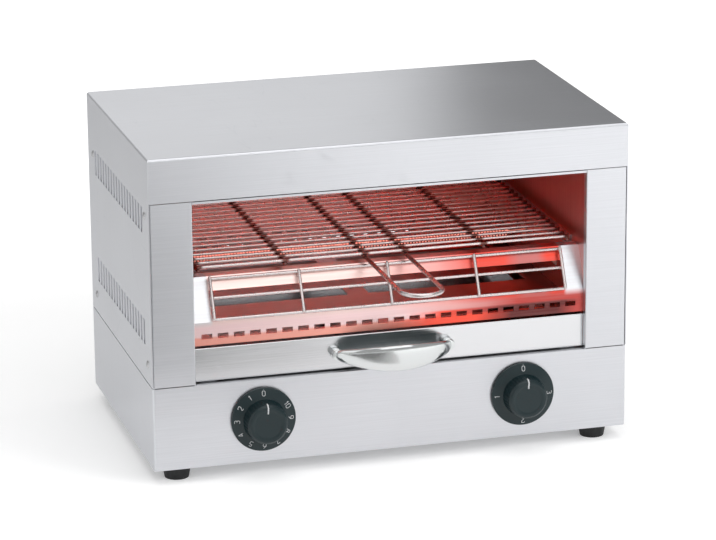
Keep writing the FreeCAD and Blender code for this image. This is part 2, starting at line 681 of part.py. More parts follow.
def bus_bar(name, side, rows):
    """Flat bar that joins the pins at one side; it follows the tubes of the rows it serves."""
    body = new_body(name)
    levels = sorted((f"{side}(lead_x - gauge / 2)", f"{side}(lead_x + gauge / 2)"), key=value)
    front = "(tube_front - bar_half)"
    back = "(tube_front + tube_pitch + bar_half)"
    served = []
    for row in rows:
        up = f"(tube_low + {row} * tube_rise)"
        served += [(f"(tube_front + {column} * tube_pitch)", up) for column in (0, 1)]
        pad(body, "side", *levels, rectangle(front, back, f"{up} - bar_half", f"{up} + bar_half"))
    if len(rows) > 1:
        top = "tube_low + tube_rise + bar_half"
        pad(body, "side", *levels, rectangle(front, "tube_front + bar_half", "tube_low - bar_half", top))
    pocket(body, "side", f"-{half}", half, *[ring_of_flats(*place, "pin_radius") for place in served])
    return seat(body)


# Crumb tray

def crumb_tray():
    """Shallow pan with a taller front plate that closes the window's lower part."""
    body = new_body("crumb_tray")
    pad(body, "top", "tray_level", "tray_level + tray_wall",
        rectangle("-tray_half", "tray_half", "tray_front_y", "tray_back"))
    pocket(body, "top", "tray_level + gauge", "tray_level + tray_wall + gauge", rectangle(
        "-(tray_half - gauge)", "tray_half - gauge", "tray_front_y + gauge", "tray_back - gauge"))
    edge = "(window_half - gap)"
    pad(body, "front", "tray_front_y", "tray_front_y + gauge",
        rectangle(f"-{edge}", edge, "tray_level", "tray_front_top"))
    pad(body, "front", "tray_front_y + gauge / 2", "tray_front_y + flange / 2",
        rectangle(f"-{edge}", edge, "tray_front_top - gauge", "tray_front_top"))
    dress(body, "Fillet", "gauge", {"y": "tray_front_y", "z": "tray_front_top"})
    pocket(body, "front", "tray_front_y - gauge", "tray_front_y + 2 * gauge",
           *[ring_of_flats(across, "handle_level", "screw_radius") for across in stud_places])
    return seat(body)


def tray_runner(name, side):
    """Angle on the deck that carries the tray's edge and guides its side."""
    body = new_body(name)
    inner = f"{side}(tray_half - tray_ledge)"
    face = f"{side}(tray_half + gap)"
    skin = f"{side}(tray_half + gap + gauge)"
    top = "tray_level - gap"
    guide = "base_height + tray_guide"
    pad(body, "front", "flange", "tray_back", outline(
        (inner, "base_height"), (skin, "base_height"), (skin, guide),
        (face, guide), (face, top), (inner, top)))
    return seat(body)


def leaf(across, outer_crown, outer_end, inner_crown, inner_end):
    """A band between two arcs over the same span, closed by straight ends."""
    def draw(sketch):
        span = value(across)
        for crown, end, way in ((outer_crown, outer_end, 1), (inner_crown, inner_end, -1)):
            start = FreeCAD.Vector(-span * way, value(end), 0)
            finish = FreeCAD.Vector(span * way, value(end), 0)
            sketch.addGeometry(Part.Arc(start, FreeCAD.Vector(0, value(crown), 0), finish))
        for side, first, last in ((1, outer_end, inner_end), (-1, inner_end, outer_end)):
            sketch.addGeometry(Part.LineSegment(
                FreeCAD.Vector(side * span, value(first), 0), FreeCAD.Vector(side * span, value(last), 0)))
    return draw


def tray_handle():
    """Bow handle: a curved band, leaf-shaped from the front, on two round studs."""
    body = new_body("tray_handle")
    low = "(handle_level - handle_height / 2)"
    high = "(handle_level + handle_height / 2)"
    margin = "handle_height / 4"
    inner_crown = "handle_gauge - handle_reach"
    pad(body, "top", low, high,
        leaf("handle_half + 2 * gauge", "-handle_reach", "0", inner_crown, "handle_gauge"))
    pocket(body, "front", f"-handle_reach - {margin}", "tray_front_y",
           rectangle(f"-handle_half - 2 * {margin}", f"handle_half + 2 * {margin}", f"{low} - {margin}",
                     f"{high} + {margin}"),
           leaf("handle_half + 4 * gauge", high, "handle_level + handle_tip / 2",
                low, "handle_level - handle_tip / 2"))
    pad(body, "front", "-2 * gauge", "tray_front_y",
        *[circle(across, "handle_level", "stud_radius") for across in stud_places])
    pocket(body, "front", "0", "tray_front_y + gauge",
           *[ring_of_flats(across, "handle_level", "screw_radius") for across in stud_places])
    return seat(body)


# Controls.  Each is drawn about its own shaft and then put at its place on the front.

def knob(name, side):
    """Moulded knob: dial skirt and tapered cap turned about the shaft, with a raised index."""
    body = new_body(name)
    revolve(body, "side", "0", "H_Axis", outline(
        ("-knob_bore", "0"), ("-knob_bore", "shaft_radius"),
        ("-gauge", "shaft_radius"), ("-gauge", "skirt_radius"),
        ("-skirt_depth", "skirt_radius"), ("-skirt_depth - 2 * gauge", "cap_radius"),
        ("2 * gauge - knob_reach", "cap_radius - 1.5 * gauge"), ("-knob_reach", "cap_radius - 3.5 * gauge"),
        ("-knob_reach", "0")))
    pad(body, "front", "gauge / 2 - knob_reach", "-skirt_depth - gauge",
        rectangle("-index_half", "index_half", "cap_radius * 0.6", "cap_radius"))
    return seat(body, f"{side}control_x", "0", "control_z")


def control_shaft(name, side):
    """Round shaft with a flat where the knob grips it."""
    body = new_body(name)
    pad(body, "front", "-knob_bore", "shaft_back", circle("0", "0", "shaft_radius"))
    pocket(body, "front", "-knob_bore - gauge", "-skirt_depth",
           rectangle("-shaft_radius", "shaft_radius", "shaft_radius - shaft_flat", "shaft_radius + gauge"))
    return seat(body, f"{side}control_x", "0", "control_z")


def bore_control(body):
    """The shaft's bore and the two mounting screws' holes in a case behind the panel."""
    pocket(body, "front", "0", "shaft_back + gauge", circle("0", "0", "shaft_radius + shaft_play"))
    pocket(body, "front", "0", "7 * gauge",
           *[ring_of_flats(f"{side}control_screw", "0", "control_screw_radius") for side in sides])


def timer_body():
    """Clockwork case behind the panel with two blade terminals."""
    body = new_body("timer_body")
    pad(body, "front", "gauge", "case_back",
        rectangle("-case_half", "case_half", "-case_half", "case_half"))
    pad(body, "front", "case_back", "drum_back", ring_of_flats("0", "0", "case_drum", 16))
    pad(body, "front", "drum_back", "blade_back",
        *[rectangle(f"{side}blade_place - blade_width / 2", f"{side}blade_place + blade_width / 2",
                    "-blade_half", "blade_half") for side in sides])
    bore_control(body)
    return seat(body, "-control_x", "0", "control_z")


def selector_body():
    """Rotary switch: mounting head, contact block and four blade terminals."""
    body = new_body("selector_body")
    pad(body, "front", "gauge", "head_back", ring_of_flats("0", "0", "switch_head", 16))
    pad(body, "front", "head_back", "drum_back", ring_of_flats("0", "0", "switch_body"))
    blades = [rectangle(f"{across}contact_x - blade_width / 2", f"{across}contact_x + blade_width / 2",
                        f"{up}contact_z - blade_half", f"{up}contact_z + blade_half")
              for across in sides for up in sides]
    pad(body, "front", "drum_back", "blade_back", *blades)
    bore_control(body)
    return seat(body, "control_x", "0", "control_z")


def control_screws():
    """Flat-head screws through the housing's front into both cases, under the knobs."""
    body = new_body("control_screws")
    spots = [f"{side}control_x {way} control_screw" for side in sides for way in "-+"]
    pad(body, "front", "-control_head", "0",
        *[ring_of_flats(across, "control_z", "control_screw_radius * 1.8", 12) for across in spots])
    pad(body, "front", "-control_head / 2", "6 * gauge",
        *[ring_of_flats(across, "control_z", "control_screw_radius") for across in spots])
    return seat(body)


def terminal_block():
    """Supply terminal on the floor plate, with a screw well over each way."""
    body = new_body("terminal_block")
    floor_top = "2 * gauge"
    pad(body, "top", floor_top, f"{floor_top} + block_step",
        rectangle("block_left", "block_right", "block_front", "block_back"))
    pad(body, "top", f"{floor_top} + block_step", f"{floor_top} + block_height",
        rectangle("block_left", "block_right", "block_front + block_ledge", "block_back - block_ledge"))
    first = ("block_left + block_pitch / 2", "(block_front + block_back) / 2", "block_well")
    well = pocket(body, "top", f"{floor_top} + block_step + gauge", f"{floor_top} + block_height + gauge",
                  ring_of_flats(*first))
    repeat(body, well, ("H_Axis", "block_pitch", "block_ways"))
    return seat(body)


def cable_gland():
    """Supply inlet: hexagonal shoulder and cap outside, threaded neck through the back panel."""
    body = new_body("cable_gland")
    place = ("gland_x", "gland_z")
    shoulder = "(depth + gland_nut)"
    mouth = "(depth + gland_reach)"
    pad(body, "front", "depth", shoulder, ring_of_flats(*place, "gland_radius + gland_hex", 6))
    pad(body, "front", shoulder, f"{mouth} - gland_hex",
        ring_of_flats(*place, "gland_radius + gland_hex - gauge", 6))
    pad(body, "front", f"{mouth} - gland_hex", mouth, circle(*place, "gland_radius + gauge"))
    pad(body, "front", "depth - gauge - gland_neck", "depth", circle(*place, "gland_radius"))
    pocket(body, "front", "depth - 2 * gauge - gland_neck", f"{mouth} + gauge",
           circle(*place, "gland_bore"))
    return seat(body)


def gland_nut():
    body = new_body("gland_nut")
    pad(body, "front", "depth - gauge - gland_nut", "depth - gauge",
        ring_of_flats("gland_x", "gland_z", "gland_radius + gland_hex", 6),
        circle("gland_x", "gland_z", "gland_radius"))
    return seat(body)


# Feet and screws

def feet():
    """Four tapered rubber feet under the floor plate, each with a well for its screw's head."""
    body = new_body("feet")
    foot = revolve(body, "side", "0", "V_Axis", outline(
        ("foot_hole", "gauge"), ("foot_top", "gauge"), ("foot_bottom", "-foot_height"),
        ("foot_well", "-foot_height"), ("foot_well", "foot_well_depth - foot_height"),
        ("foot_hole", "foot_well_depth - foot_height")))
    repeat(body, foot, ("H_Axis", "foot_back - foot_front", "2"), ("N_Axis", "2 * foot_x", "2"))
    return seat(body, "-foot_x", "foot_front")


def foot_screws():
    """Pan-head screws up through the feet and the floor plate."""
    body = new_body("foot_screws")
    seat_level = "(foot_well_depth - foot_height)"
    pad(body, "top", f"{seat_level} - head_height", seat_level,
        *[ring_of_flats(across, back, "head_radius", 12) for across, back in foot_places])
    pad(body, "top", f"{seat_level} - head_height / 2", f"{seat_level} + foot_screw_length",
        *[ring_of_flats(across, back, "screw_radius") for across, back in foot_places])
    return seat(body)


def foot_nuts():
    body = new_body("foot_nuts")
    pad(body, "top", "2 * gauge", "2 * gauge + nut_height",
        *[ring_of_flats(across, back, "nut_half", 6) for across, back in foot_places],
        *[ring_of_flats(across, back, "screw_radius") for across, back in foot_places])
    return seat(body)


def side_screws():
    """Pan-head screws that hold the cover to the posts and the back panel."""
    body = new_body("side_screws")
    heads = pad(body, "side", half, f"{half} + head_height",
                *[ring_of_flats(back, up, "head_radius", 12) for back, up in side_screw_places])
    shanks = pad(body, "side", f"{inner_half} - screw_reach", f"{half} + head_height / 2",
                 *[ring_of_flats(back, up, "screw_radius") for back, up in side_screw_places])
    mirror(body, heads)
    mirror(body, shanks)
    return seat(body)


def back_screws():
    """Pan-head screws through the back panel's foot into the floor plate's tab."""
    body = new_body("back_screws")
    pad(body, "front", "depth", "depth + head_height",
        *[ring_of_flats(across, "floor_screw_z", "head_radius", 12) for across in floor_screws])
    pad(body, "front", "depth - gauge - screw_reach", "depth + head_height / 2",
        *[ring_of_flats(across, "floor_screw_z", "screw_radius") for across in floor_screws])
    return seat(body)


def handle_screws():
    """Screws from inside the tray's front plate into the handle's studs."""
    body = new_body("handle_screws")
    head = "(tray_front_y + gauge)"
    pad(body, "front", head, f"{head} + head_height",
        *[ring_of_flats(across, "handle_level", "head_radius", 12) for across in stud_places])
    pad(body, "front", "gauge", f"{head} + head_height / 2",
        *[ring_of_flats(across, "handle_level", "screw_radius") for across in stud_places])
    return seat(body)


def leads():
    """Insulated leads between terminal block, timer, selector and the heaters' bus bars."""
    bar_front = "(tube_front - bar_half)"
    upper = "(tube_low + tube_rise)"
    low_contact = "(control_z - contact_z)"
    high_contact = "(control_z + contact_z)"
    deck_under = "(base_height - 2 * flange)"
    block_low = "block_step / 2 + 2 * gauge"
    out_y = "(blade_back + 2 * lead_bend)"
    near_y = "(lead_y - lead_spread)"
    far_y = "(lead_y + lead_spread)"
    left_way = "block_left + block_pitch / 2"
    right_way = "block_right - block_pitch"
    inner_blade = "(blade_place - control_x)"
    outer_blade = "(-blade_place - control_x)"
    inlet = "block_back + flange"
    runs = {
        "timer_lead": [
            (right_way, "block_front", block_low), (right_way, "block_front - 2 * flange", block_low),
            (outer_blade, "blade_back + 2 * flange", "control_z"),
            (outer_blade, "blade_back", "control_z")],
        "selector_lead": [
            (inner_blade, "blade_back", "control_z"), (inner_blade, out_y, "control_z"),
            ("control_x - contact_x", out_y, low_contact),
            ("control_x - contact_x", "blade_back", low_contact)],
        "left_heater_lead": [
            (left_way, "block_back", block_low), (left_way, inlet, block_low),
            ("-lead_x", inlet, deck_under), ("-lead_x", "lead_y", deck_under),
            ("-lead_x", "lead_y", "tube_low"), ("-lead_x", bar_front, "tube_low")],
        "right_lower_lead": [
            ("control_x + contact_x", "blade_back", low_contact),
            ("control_x + contact_x", far_y, low_contact), ("lead_x", far_y, low_contact),
            ("lead_x", far_y, "tube_low"), ("lead_x", bar_front, "tube_low")],
        "right_upper_lead": [
            ("control_x + contact_x", "blade_back", high_contact),
            ("control_x + contact_x", near_y, high_contact), ("lead_x", near_y, high_contact),
            ("lead_x", near_y, upper), ("lead_x", bar_front, upper)],
    }
    for name, points in runs.items():
        seat(bent_wire(name, points, "lead_radius", "lead_bend", 6))


for make in (outer_cover, back_panel, base_housing, base_floor, deck, window_header, chamber_back,
             upper_reflector, lower_reflector, lower_guard, upper_guard, ceramic_end_caps, rack,
             rack_handle, crumb_tray, tray_handle, handle_screws, timer_body, selector_body,
             control_screws, terminal_block, cable_gland, gland_nut, feet, foot_screws, foot_nuts,
             side_screws, back_screws, leads):
    make()
bus_bar("left_bus_bar", "-", (0, 1))
bus_bar("right_lower_bus_bar", "", (0,))
bus_bar("right_upper_bus_bar", "", (1,))
for word, side in (("left", "-"), ("right", "")):
    post(word + "_post", side)
    chamber_wall(f"chamber_{word}_wall", side)
    rack_runner(word + "_rack_runner", side)
    tray_runner(word + "_tray_runner", side)
for word, side in (("timer", "-"), ("selector", "")):
    knob(word + "_knob", side)
    control_shaft(word + "_shaft", side)
for (back, up), word in zip(tube_places, ("lower_front", "upper_front", "lower_back", "upper_back")):
    quartz_tube(word + "_tube", back, up)
    heating_element(word + "_element", back, up)

doc.recompute()
for item in doc.Objects:
    if {"Invalid", "Error"} & set(item.State):
        raise RuntimeError(item.Name + " of the document failed")
for piece in pieces:
    if piece.Shape.isNull() or not piece.Shape.isValid():
        raise RuntimeError(piece.Label + " has no valid shape")

os.makedirs("parts", exist_ok=True)
for piece in pieces:
    piece.Shape.exportStep("parts/" + piece.Label + ".step")
    print(piece.Label, len(piece.Shape.Solids), round(piece.Shape.Volume))
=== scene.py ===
import json
import math

import bpy
import numpy as np
from mathutils import Matrix, Vector


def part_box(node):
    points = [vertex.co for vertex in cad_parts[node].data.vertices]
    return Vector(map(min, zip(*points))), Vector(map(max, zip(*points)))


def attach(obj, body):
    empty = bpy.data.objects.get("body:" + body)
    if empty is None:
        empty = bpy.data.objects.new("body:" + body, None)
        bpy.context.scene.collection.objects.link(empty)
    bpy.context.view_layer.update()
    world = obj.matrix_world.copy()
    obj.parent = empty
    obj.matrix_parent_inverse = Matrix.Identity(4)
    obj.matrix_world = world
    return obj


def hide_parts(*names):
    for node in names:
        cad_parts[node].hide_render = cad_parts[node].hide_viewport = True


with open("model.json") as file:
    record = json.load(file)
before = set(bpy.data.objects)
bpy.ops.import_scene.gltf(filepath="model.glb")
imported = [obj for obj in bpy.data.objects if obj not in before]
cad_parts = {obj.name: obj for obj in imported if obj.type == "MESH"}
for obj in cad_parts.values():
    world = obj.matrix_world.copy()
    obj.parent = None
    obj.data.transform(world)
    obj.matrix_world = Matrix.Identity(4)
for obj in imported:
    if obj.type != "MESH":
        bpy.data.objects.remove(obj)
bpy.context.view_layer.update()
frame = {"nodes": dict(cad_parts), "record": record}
nodes = frame["nodes"]
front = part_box("outer_cover")[0][1]  # the cabinet's front face; depths are given behind it
print("frame loaded:", len(nodes), "nodes")


# Camera: the photograph's own viewpoint

camera = {
    "place": (-0.84826, front - 2.95584, 1.09699),
    "yaw": 15.424,  # degrees, turned to the right of +Y
    "pitch": 16.520,  # degrees, looking down
    "roll": -0.517,
    "lens": 177.87,  # mm on a sensor 36 mm wide
}


def placeCamera(c):
    yaw, pitch, roll = (math.radians(c[k]) for k in ("yaw", "pitch", "roll"))
    ahead = Vector((math.sin(yaw) * math.cos(pitch), math.cos(yaw) * math.cos(pitch), -math.sin(pitch)))
    level = Vector((math.cos(yaw), -math.sin(yaw), 0))
    upright = level.cross(ahead)
    across = level * math.cos(roll) + upright * math.sin(roll)
    up = upright * math.cos(roll) - level * math.sin(roll)
    data = bpy.data.cameras.new("camera")
    data.lens = c["lens"]
    data.sensor_width = 36
    data.clip_end = 50
    shot = bpy.data.objects.new("camera", data)
    bpy.context.scene.collection.objects.link(shot)
    turn = Matrix((across, up, -ahead)).transposed().to_4x4()
    shot.matrix_world = Matrix.Translation(Vector(c["place"])) @ turn
    bpy.context.scene.camera = shot


placeCamera(camera)
bpy.context.scene.view_settings.view_transform = "Standard"
print("camera placed")


# Node helpers

def wire(tree, kind, links=None, **settings):
    # links maps the new node's input names to sockets or values; settings are its properties
    node = tree.nodes.new("ShaderNode" + kind)
    for name, value in settings.items():
        setattr(node, name, value)
    for name, value in (links or {}).items():
        if isinstance(value, bpy.types.NodeSocket):
            tree.links.new(value, node.inputs[name])
        else:
            node.inputs[name].default_value = value
    return node


def newMaterial(name):
    material = bpy.data.materials.new(name)
    material.use_nodes = True
    tree = material.node_tree
    tree.nodes.clear()
    shader = wire(tree, "BsdfPrincipled")
    wire(tree, "OutputMaterial", {"Surface": shader.outputs[0]})
    return material, tree, shader


def ramp(tree, value, *stops):
    # every stop is (position, grey or colour)
    node = wire(tree, "ValToRGB", {"Fac": value})
    elements = node.color_ramp.elements
    elements[0].position, elements[1].position = stops[0][0], stops[-1][0]
    for position, tone in stops[1:-1]:
        elements.new(position)
    for element, (position, tone) in zip(elements, stops):
        element.color = (tone, tone, tone, 1) if isinstance(tone, (int, float)) else (*tone, 1)
    return node.outputs["Color"]


def maths(tree, operation, a, b=0.0):
    node = wire(tree, "Math", operation=operation)
    for socket, value in zip(node.inputs, (a, b)):
        if isinstance(value, bpy.types.NodeSocket):
            tree.links.new(value, socket)
        else:
            socket.default_value = value
    return node.outputs[0]


def mixColours(tree, share, a, b):
    node = wire(tree, "Mix", data_type="RGBA")
    for socket, value in zip((node.inputs[0], node.inputs[6], node.inputs[7]), (share, a, b)):
        if isinstance(value, bpy.types.NodeSocket):
            tree.links.new(value, socket)
        else:
            socket.default_value = value if isinstance(value, (int, float)) else (*value, 1)[:4]
    return node.outputs[2]


def fade(tree, value, start, end, low=0.0, high=1.0, **settings):
    # low at the start and high at the end, level outside them
    node = wire(tree, "MapRange", {"Value": value, "From Min": start, "From Max": end, "To Min": low, "To Max": high},
                **settings)
    return node.outputs[0]


def objectPlace(tree):
    return wire(tree, "SeparateXYZ", {0: wire(tree, "TexCoord").outputs["Object"]}).outputs


def dress(tree, shader, colour, rough, height=None, bump=0.03, metallic=1.0):
    # joins the varying colour, roughness and height to the shader
    tree.links.new(colour, shader.inputs["Base Color"])
    tree.links.new(rough, shader.inputs["Roughness"])
    shader.inputs["Metallic"].default_value = metallic
    if height is not None:
        bumped = wire(tree, "Bump", {"Height": height, "Strength": bump, "Distance": 0.0002})
        tree.links.new(bumped.outputs[0], shader.inputs["Normal"])


# Shared effects, each a node group

def newGroup(name, inputs, outputs):
    group = bpy.data.node_groups.new(name, "ShaderNodeTree")
    kinds = {"f": "NodeSocketFloat", "c": "NodeSocketColor", "v": "NodeSocketVector"}
    for label, kind, value in inputs:
        socket = group.interface.new_socket(label, in_out="INPUT", socket_type=kinds[kind])
        if value is not None:
            socket.default_value = value
    for label, kind in outputs:
        group.interface.new_socket(label, in_out="OUTPUT", socket_type=kinds[kind])
    start = group.nodes.new("NodeGroupInput")
    finish = group.nodes.new("NodeGroupOutput")
    return group, start, finish


def makeBrushedGrain():
    # streaks along X on roof and front, along Z on the sides, as on a folded sheet; plus slow cloudiness
    group, start, finish = newGroup(
        "brushedGrain",
        [("Coordinates", "v", None), ("Fineness", "f", 900.0), ("Length", "f", 12.0)],
        [("Streaks", "f"), ("Clouds", "f")])
    facing = wire(group, "NewGeometry")
    split = wire(group, "SeparateXYZ", {0: facing.outputs["Normal"]})
    toFront = maths(group, "GREATER_THAN", maths(group, "ABSOLUTE", split.outputs[1]), 0.7)
    place = wire(group, "SeparateXYZ", {0: start.outputs["Coordinates"]})
    fine, long = start.outputs["Fineness"], start.outputs["Length"]
    values = []
    for grainAxis in (1, 2):  # the axis across the streaks
        parts = [maths(group, "MULTIPLY", place.outputs[i], fine if i == grainAxis else long) for i in range(3)]
        vector = wire(group, "CombineXYZ", {i: part for i, part in enumerate(parts)})
        noise = wire(group, "TexNoise", {"Vector": vector.outputs[0], "Scale": 1.0, "Detail": 4.0, "Roughness": 0.6})
        values.append(noise.outputs[0])
    blend = wire(group, "Mix", {0: toFront, 2: values[0], 3: values[1]}, data_type="FLOAT")
    clouds = wire(group, "TexNoise", {"Vector": start.outputs["Coordinates"], "Scale": 9.0, "Detail": 3.0})
    group.links.new(blend.outputs[0], finish.inputs["Streaks"])
    group.links.new(clouds.outputs[0], finish.inputs["Clouds"])
    return group


def makeSpeckle():
    # fine noise for moulded and ceramic surfaces
    group, start, finish = newGroup("speckle", [("Coordinates", "v", None), ("Scale", "f", 400.0)], [("Value", "f")])
    noise = wire(group, "TexNoise", {"Vector": start.outputs["Coordinates"], "Scale": start.outputs["Scale"],
                                     "Detail": 3.0})
    group.links.new(noise.outputs[0], finish.inputs["Value"])
    return group


def makeScratches():
    # hair lines: the places where a long, stretched noise passes its middle value, at two slants
    group, start, finish = newGroup("scratches", [("Coordinates", "v", None), ("Width", "f", 0.004)], [("Mask", "f")])
    masks = []
    for slant, scale in ((0.35, (3.0, 70.0, 40.0)), (-0.9, (60.0, 4.0, 9.0))):
        turned = wire(group, "Mapping", {"Vector": start.outputs["Coordinates"], "Rotation": (slant, slant, slant),
                                         "Scale": scale})
        noise = wire(group, "TexNoise", {"Vector": turned.outputs[0], "Scale": 1.0, "Detail": 1.0})
        away = maths(group, "ABSOLUTE", maths(group, "SUBTRACT", noise.outputs[0], 0.5))
        masks.append(maths(group, "LESS_THAN", away, start.outputs["Width"]))
    patches = wire(group, "TexNoise", {"Vector": start.outputs["Coordinates"], "Scale": 28.0, "Detail": 2.0})
    shown = maths(group, "GREATER_THAN", patches.outputs[0], 0.56)
    mask = maths(group, "MULTIPLY", maths(group, "MAXIMUM", *masks), shown)
    group.links.new(mask, finish.inputs["Mask"])
    return group


brushedGrain = makeBrushedGrain()
speckle = makeSpeckle()
scratches = makeScratches()


def useGroup(tree, group, **values):
    node = tree.nodes.new("ShaderNodeGroup")
    node.node_tree = group
    coordinates = wire(tree, "TexCoord")
    tree.links.new(coordinates.outputs["Object"], node.inputs["Coordinates"])
    for name, value in values.items():
        node.inputs[name].default_value = value
    return node


def sheetSteel(name, tone, roughness, streaks=0.05, bump=0.02, fineness=900.0, scuffs=0.06):
    # streaks vary its tone and gloss; clouds lighten and darken it slowly; scratches dull it along hair lines
    material, tree, shader = newMaterial(name)
    grain = useGroup(tree, brushedGrain, Fineness=fineness)
    low, high = (tuple(part * k for part in tone) for k in (1 - streaks, 1 + streaks))
    colour = mixColours(tree, ramp(tree, grain.outputs["Streaks"], (0.3, 0), (0.7, 1)), low, high)
    clouded = mixColours(tree, ramp(tree, grain.outputs["Clouds"], (0.35, 0), (0.65, 0.35)), colour,
                         tuple(part * 0.93 for part in tone))
    rough = ramp(tree, grain.outputs["Streaks"], (0.25, roughness - 0.05), (0.75, roughness + 0.07))
    marks = useGroup(tree, scratches)
    rougher = maths(tree, "ADD", rough, maths(tree, "MULTIPLY", marks.outputs["Mask"], scuffs))
    dress(tree, shader, clouded, rougher, grain.outputs["Streaks"], bump)
    return material


def speckled(name, tone, roughness, metallic=0.0, scale=500.0, spread=0.15, bump=0.1):
    # fine variation of tone, gloss and height
    material, tree, shader = newMaterial(name)
    grain = useGroup(tree, speckle, Scale=scale)
    low, high = (tuple(min(part * k, 1) for part in tone) for k in (1 - spread, 1 + spread))
    colour = mixColours(tree, grain.outputs["Value"], low, high)
    rough = ramp(tree, grain.outputs["Value"], (0.2, roughness - 0.06), (0.8, roughness + 0.06))
    dress(tree, shader, colour, rough, grain.outputs["Value"], bump, metallic)
    return material


def quartzGlass():
    material, tree, shader = newMaterial("quartz")
    grain = useGroup(tree, speckle, Scale=60.0)
    colour = mixColours(tree, grain.outputs["Value"], (1.0, 0.72, 0.62), (1.0, 0.86, 0.80))
    dress(tree, shader, colour, ramp(tree, grain.outputs["Value"], (0, 0.08), (1, 0.22)), metallic=0.0)
    shader.inputs["Transmission Weight"].default_value = 1.0
    shader.inputs["IOR"].default_value = 1.1
    return material


def heaterSheet(name, tones, shade):
    # bright sheet with the red glow painted into its colour as painted light: pale at the left, red and then a painted
    # dark reflection towards the right, bare at both ends;
    # the slope, the upright lip and the strip under its slots each fade in their own way
    material, tree, shader = newMaterial(name)
    grain = useGroup(tree, brushedGrain, Fineness=500.0)
    across, inward, up = objectPlace(tree)
    wavy = maths(tree, "ADD", across, maths(tree, "MULTIPLY", grain.outputs["Clouds"], shade["wave"]))
    along = fade(tree, wavy, *shade["span"])
    onSlope, onLip, inSlots, underSlots, inTrough = (
        ramp(tree, along, *[(stop, tones[tone]) for stop, tone in shade[part]])
        for part in ("slope", "lip", "slots", "underSlots", "trough"))

    def below(level, blur):
        return fade(tree, up, level + blur, level - blur)

    low = below(shade["lipTop"] - 0.002, 0.003)
    colour = mixColours(tree, low, onSlope, onLip)
    colour = mixColours(tree, below(shade["slotTop"], 0.001), colour, inSlots)
    colour = mixColours(tree, below(shade["slotMiddle"], 0.001), colour, underSlots)
    inside = maths(tree, "MULTIPLY", maths(tree, "GREATER_THAN", inward, shade["troughFront"]), low)
    colour = mixColours(tree, inside, colour, inTrough)
    bare = fade(tree, maths(tree, "ABSOLUTE", across), shade["ends"] - 0.002, shade["ends"] + 0.001)
    kept = maths(tree, "MULTIPLY", bare, maths(tree, "SUBTRACT", 1.0, low))
    colour = mixColours(tree, kept, colour, tones["bare"])
    streaked = mixColours(tree, ramp(tree, grain.outputs["Streaks"], (0.3, 0), (0.7, 0.15)), colour, tones["streak"])
    rough = ramp(tree, grain.outputs["Streaks"], (0.25, 0.28), (0.75, 0.40))
    dress(tree, shader, streaked, rough, grain.outputs["Streaks"])
    return material


def chamberSheet(name, pale, deep, spread):
    # sheet with the red glow painted into its colour as painted light: paler towards the left and the window's lower
    # part, deep red to the right and the top
    material, tree, shader = newMaterial(name)
    grain = useGroup(tree, brushedGrain, Fineness=500.0)
    place = objectPlace(tree)
    drift = maths(tree, "ADD", place[0], maths(tree, "MULTIPLY", place[2], 1.6))
    drift = maths(tree, "ADD", drift, maths(tree, "MULTIPLY", grain.outputs["Clouds"], 0.10))
    colour = mixColours(tree, fade(tree, drift, *spread), pale, deep)
    darker = tuple(part * 0.8 for part in deep)
    streaked = mixColours(tree, ramp(tree, grain.outputs["Streaks"], (0.3, 0), (0.7, 0.3)), colour, darker)
    rough = ramp(tree, grain.outputs["Streaks"], (0.25, 0.36), (0.75, 0.48))
    dress(tree, shader, streaked, rough, grain.outputs["Streaks"])
    return material


def heatedWire(name, cool, hot, spots=None, band=None):
    # bright wire darkened round its welds by heat, at given distances from the middle, or darkened over a band of
    # depth by painted shade
    material, tree, shader = newMaterial(name)
    grain = useGroup(tree, speckle, Scale=160.0)
    place = objectPlace(tree)
    if spots:
        across = maths(tree, "ABSOLUTE", place[0])
        away = [maths(tree, "ABSOLUTE", maths(tree, "SUBTRACT", across, spot)) for spot in spots["places"]]
        nearest = maths(tree, "MINIMUM", away[0], maths(tree, "MINIMUM", away[1], away[2]))
        share = fade(tree, nearest, spots["reach"][1], spots["reach"][0])
    else:
        wavy = maths(tree, "ADD", place[1], maths(tree, "MULTIPLY", grain.outputs["Value"], 0.02))
        share = fade(tree, wavy, *band)
    # hot is the heat tint round the welds, and the painted shade over the band of depth
    tone = mixColours(tree, share, cool, hot)
    browned = mixColours(tree, maths(tree, "MULTIPLY", grain.outputs["Value"], 0.2), tone, (0.45, 0.33, 0.31))
    dress(tree, shader, browned, ramp(tree, grain.outputs["Value"], (0.2, 0.24), (0.8, 0.32)))
    return material


def glowingWire(name, strength, dull, lively):
    material, tree, shader = newMaterial(name)
    grain = useGroup(tree, speckle, Scale=120.0)
    colour = mixColours(tree, grain.outputs["Value"], dull, lively)
    tree.links.new(colour, shader.inputs["Base Color"])
    tree.links.new(colour, shader.inputs["Emission Color"])
    shader.inputs["Emission Strength"].default_value = strength
    shader.inputs["Roughness"].default_value = 0.7
    return material
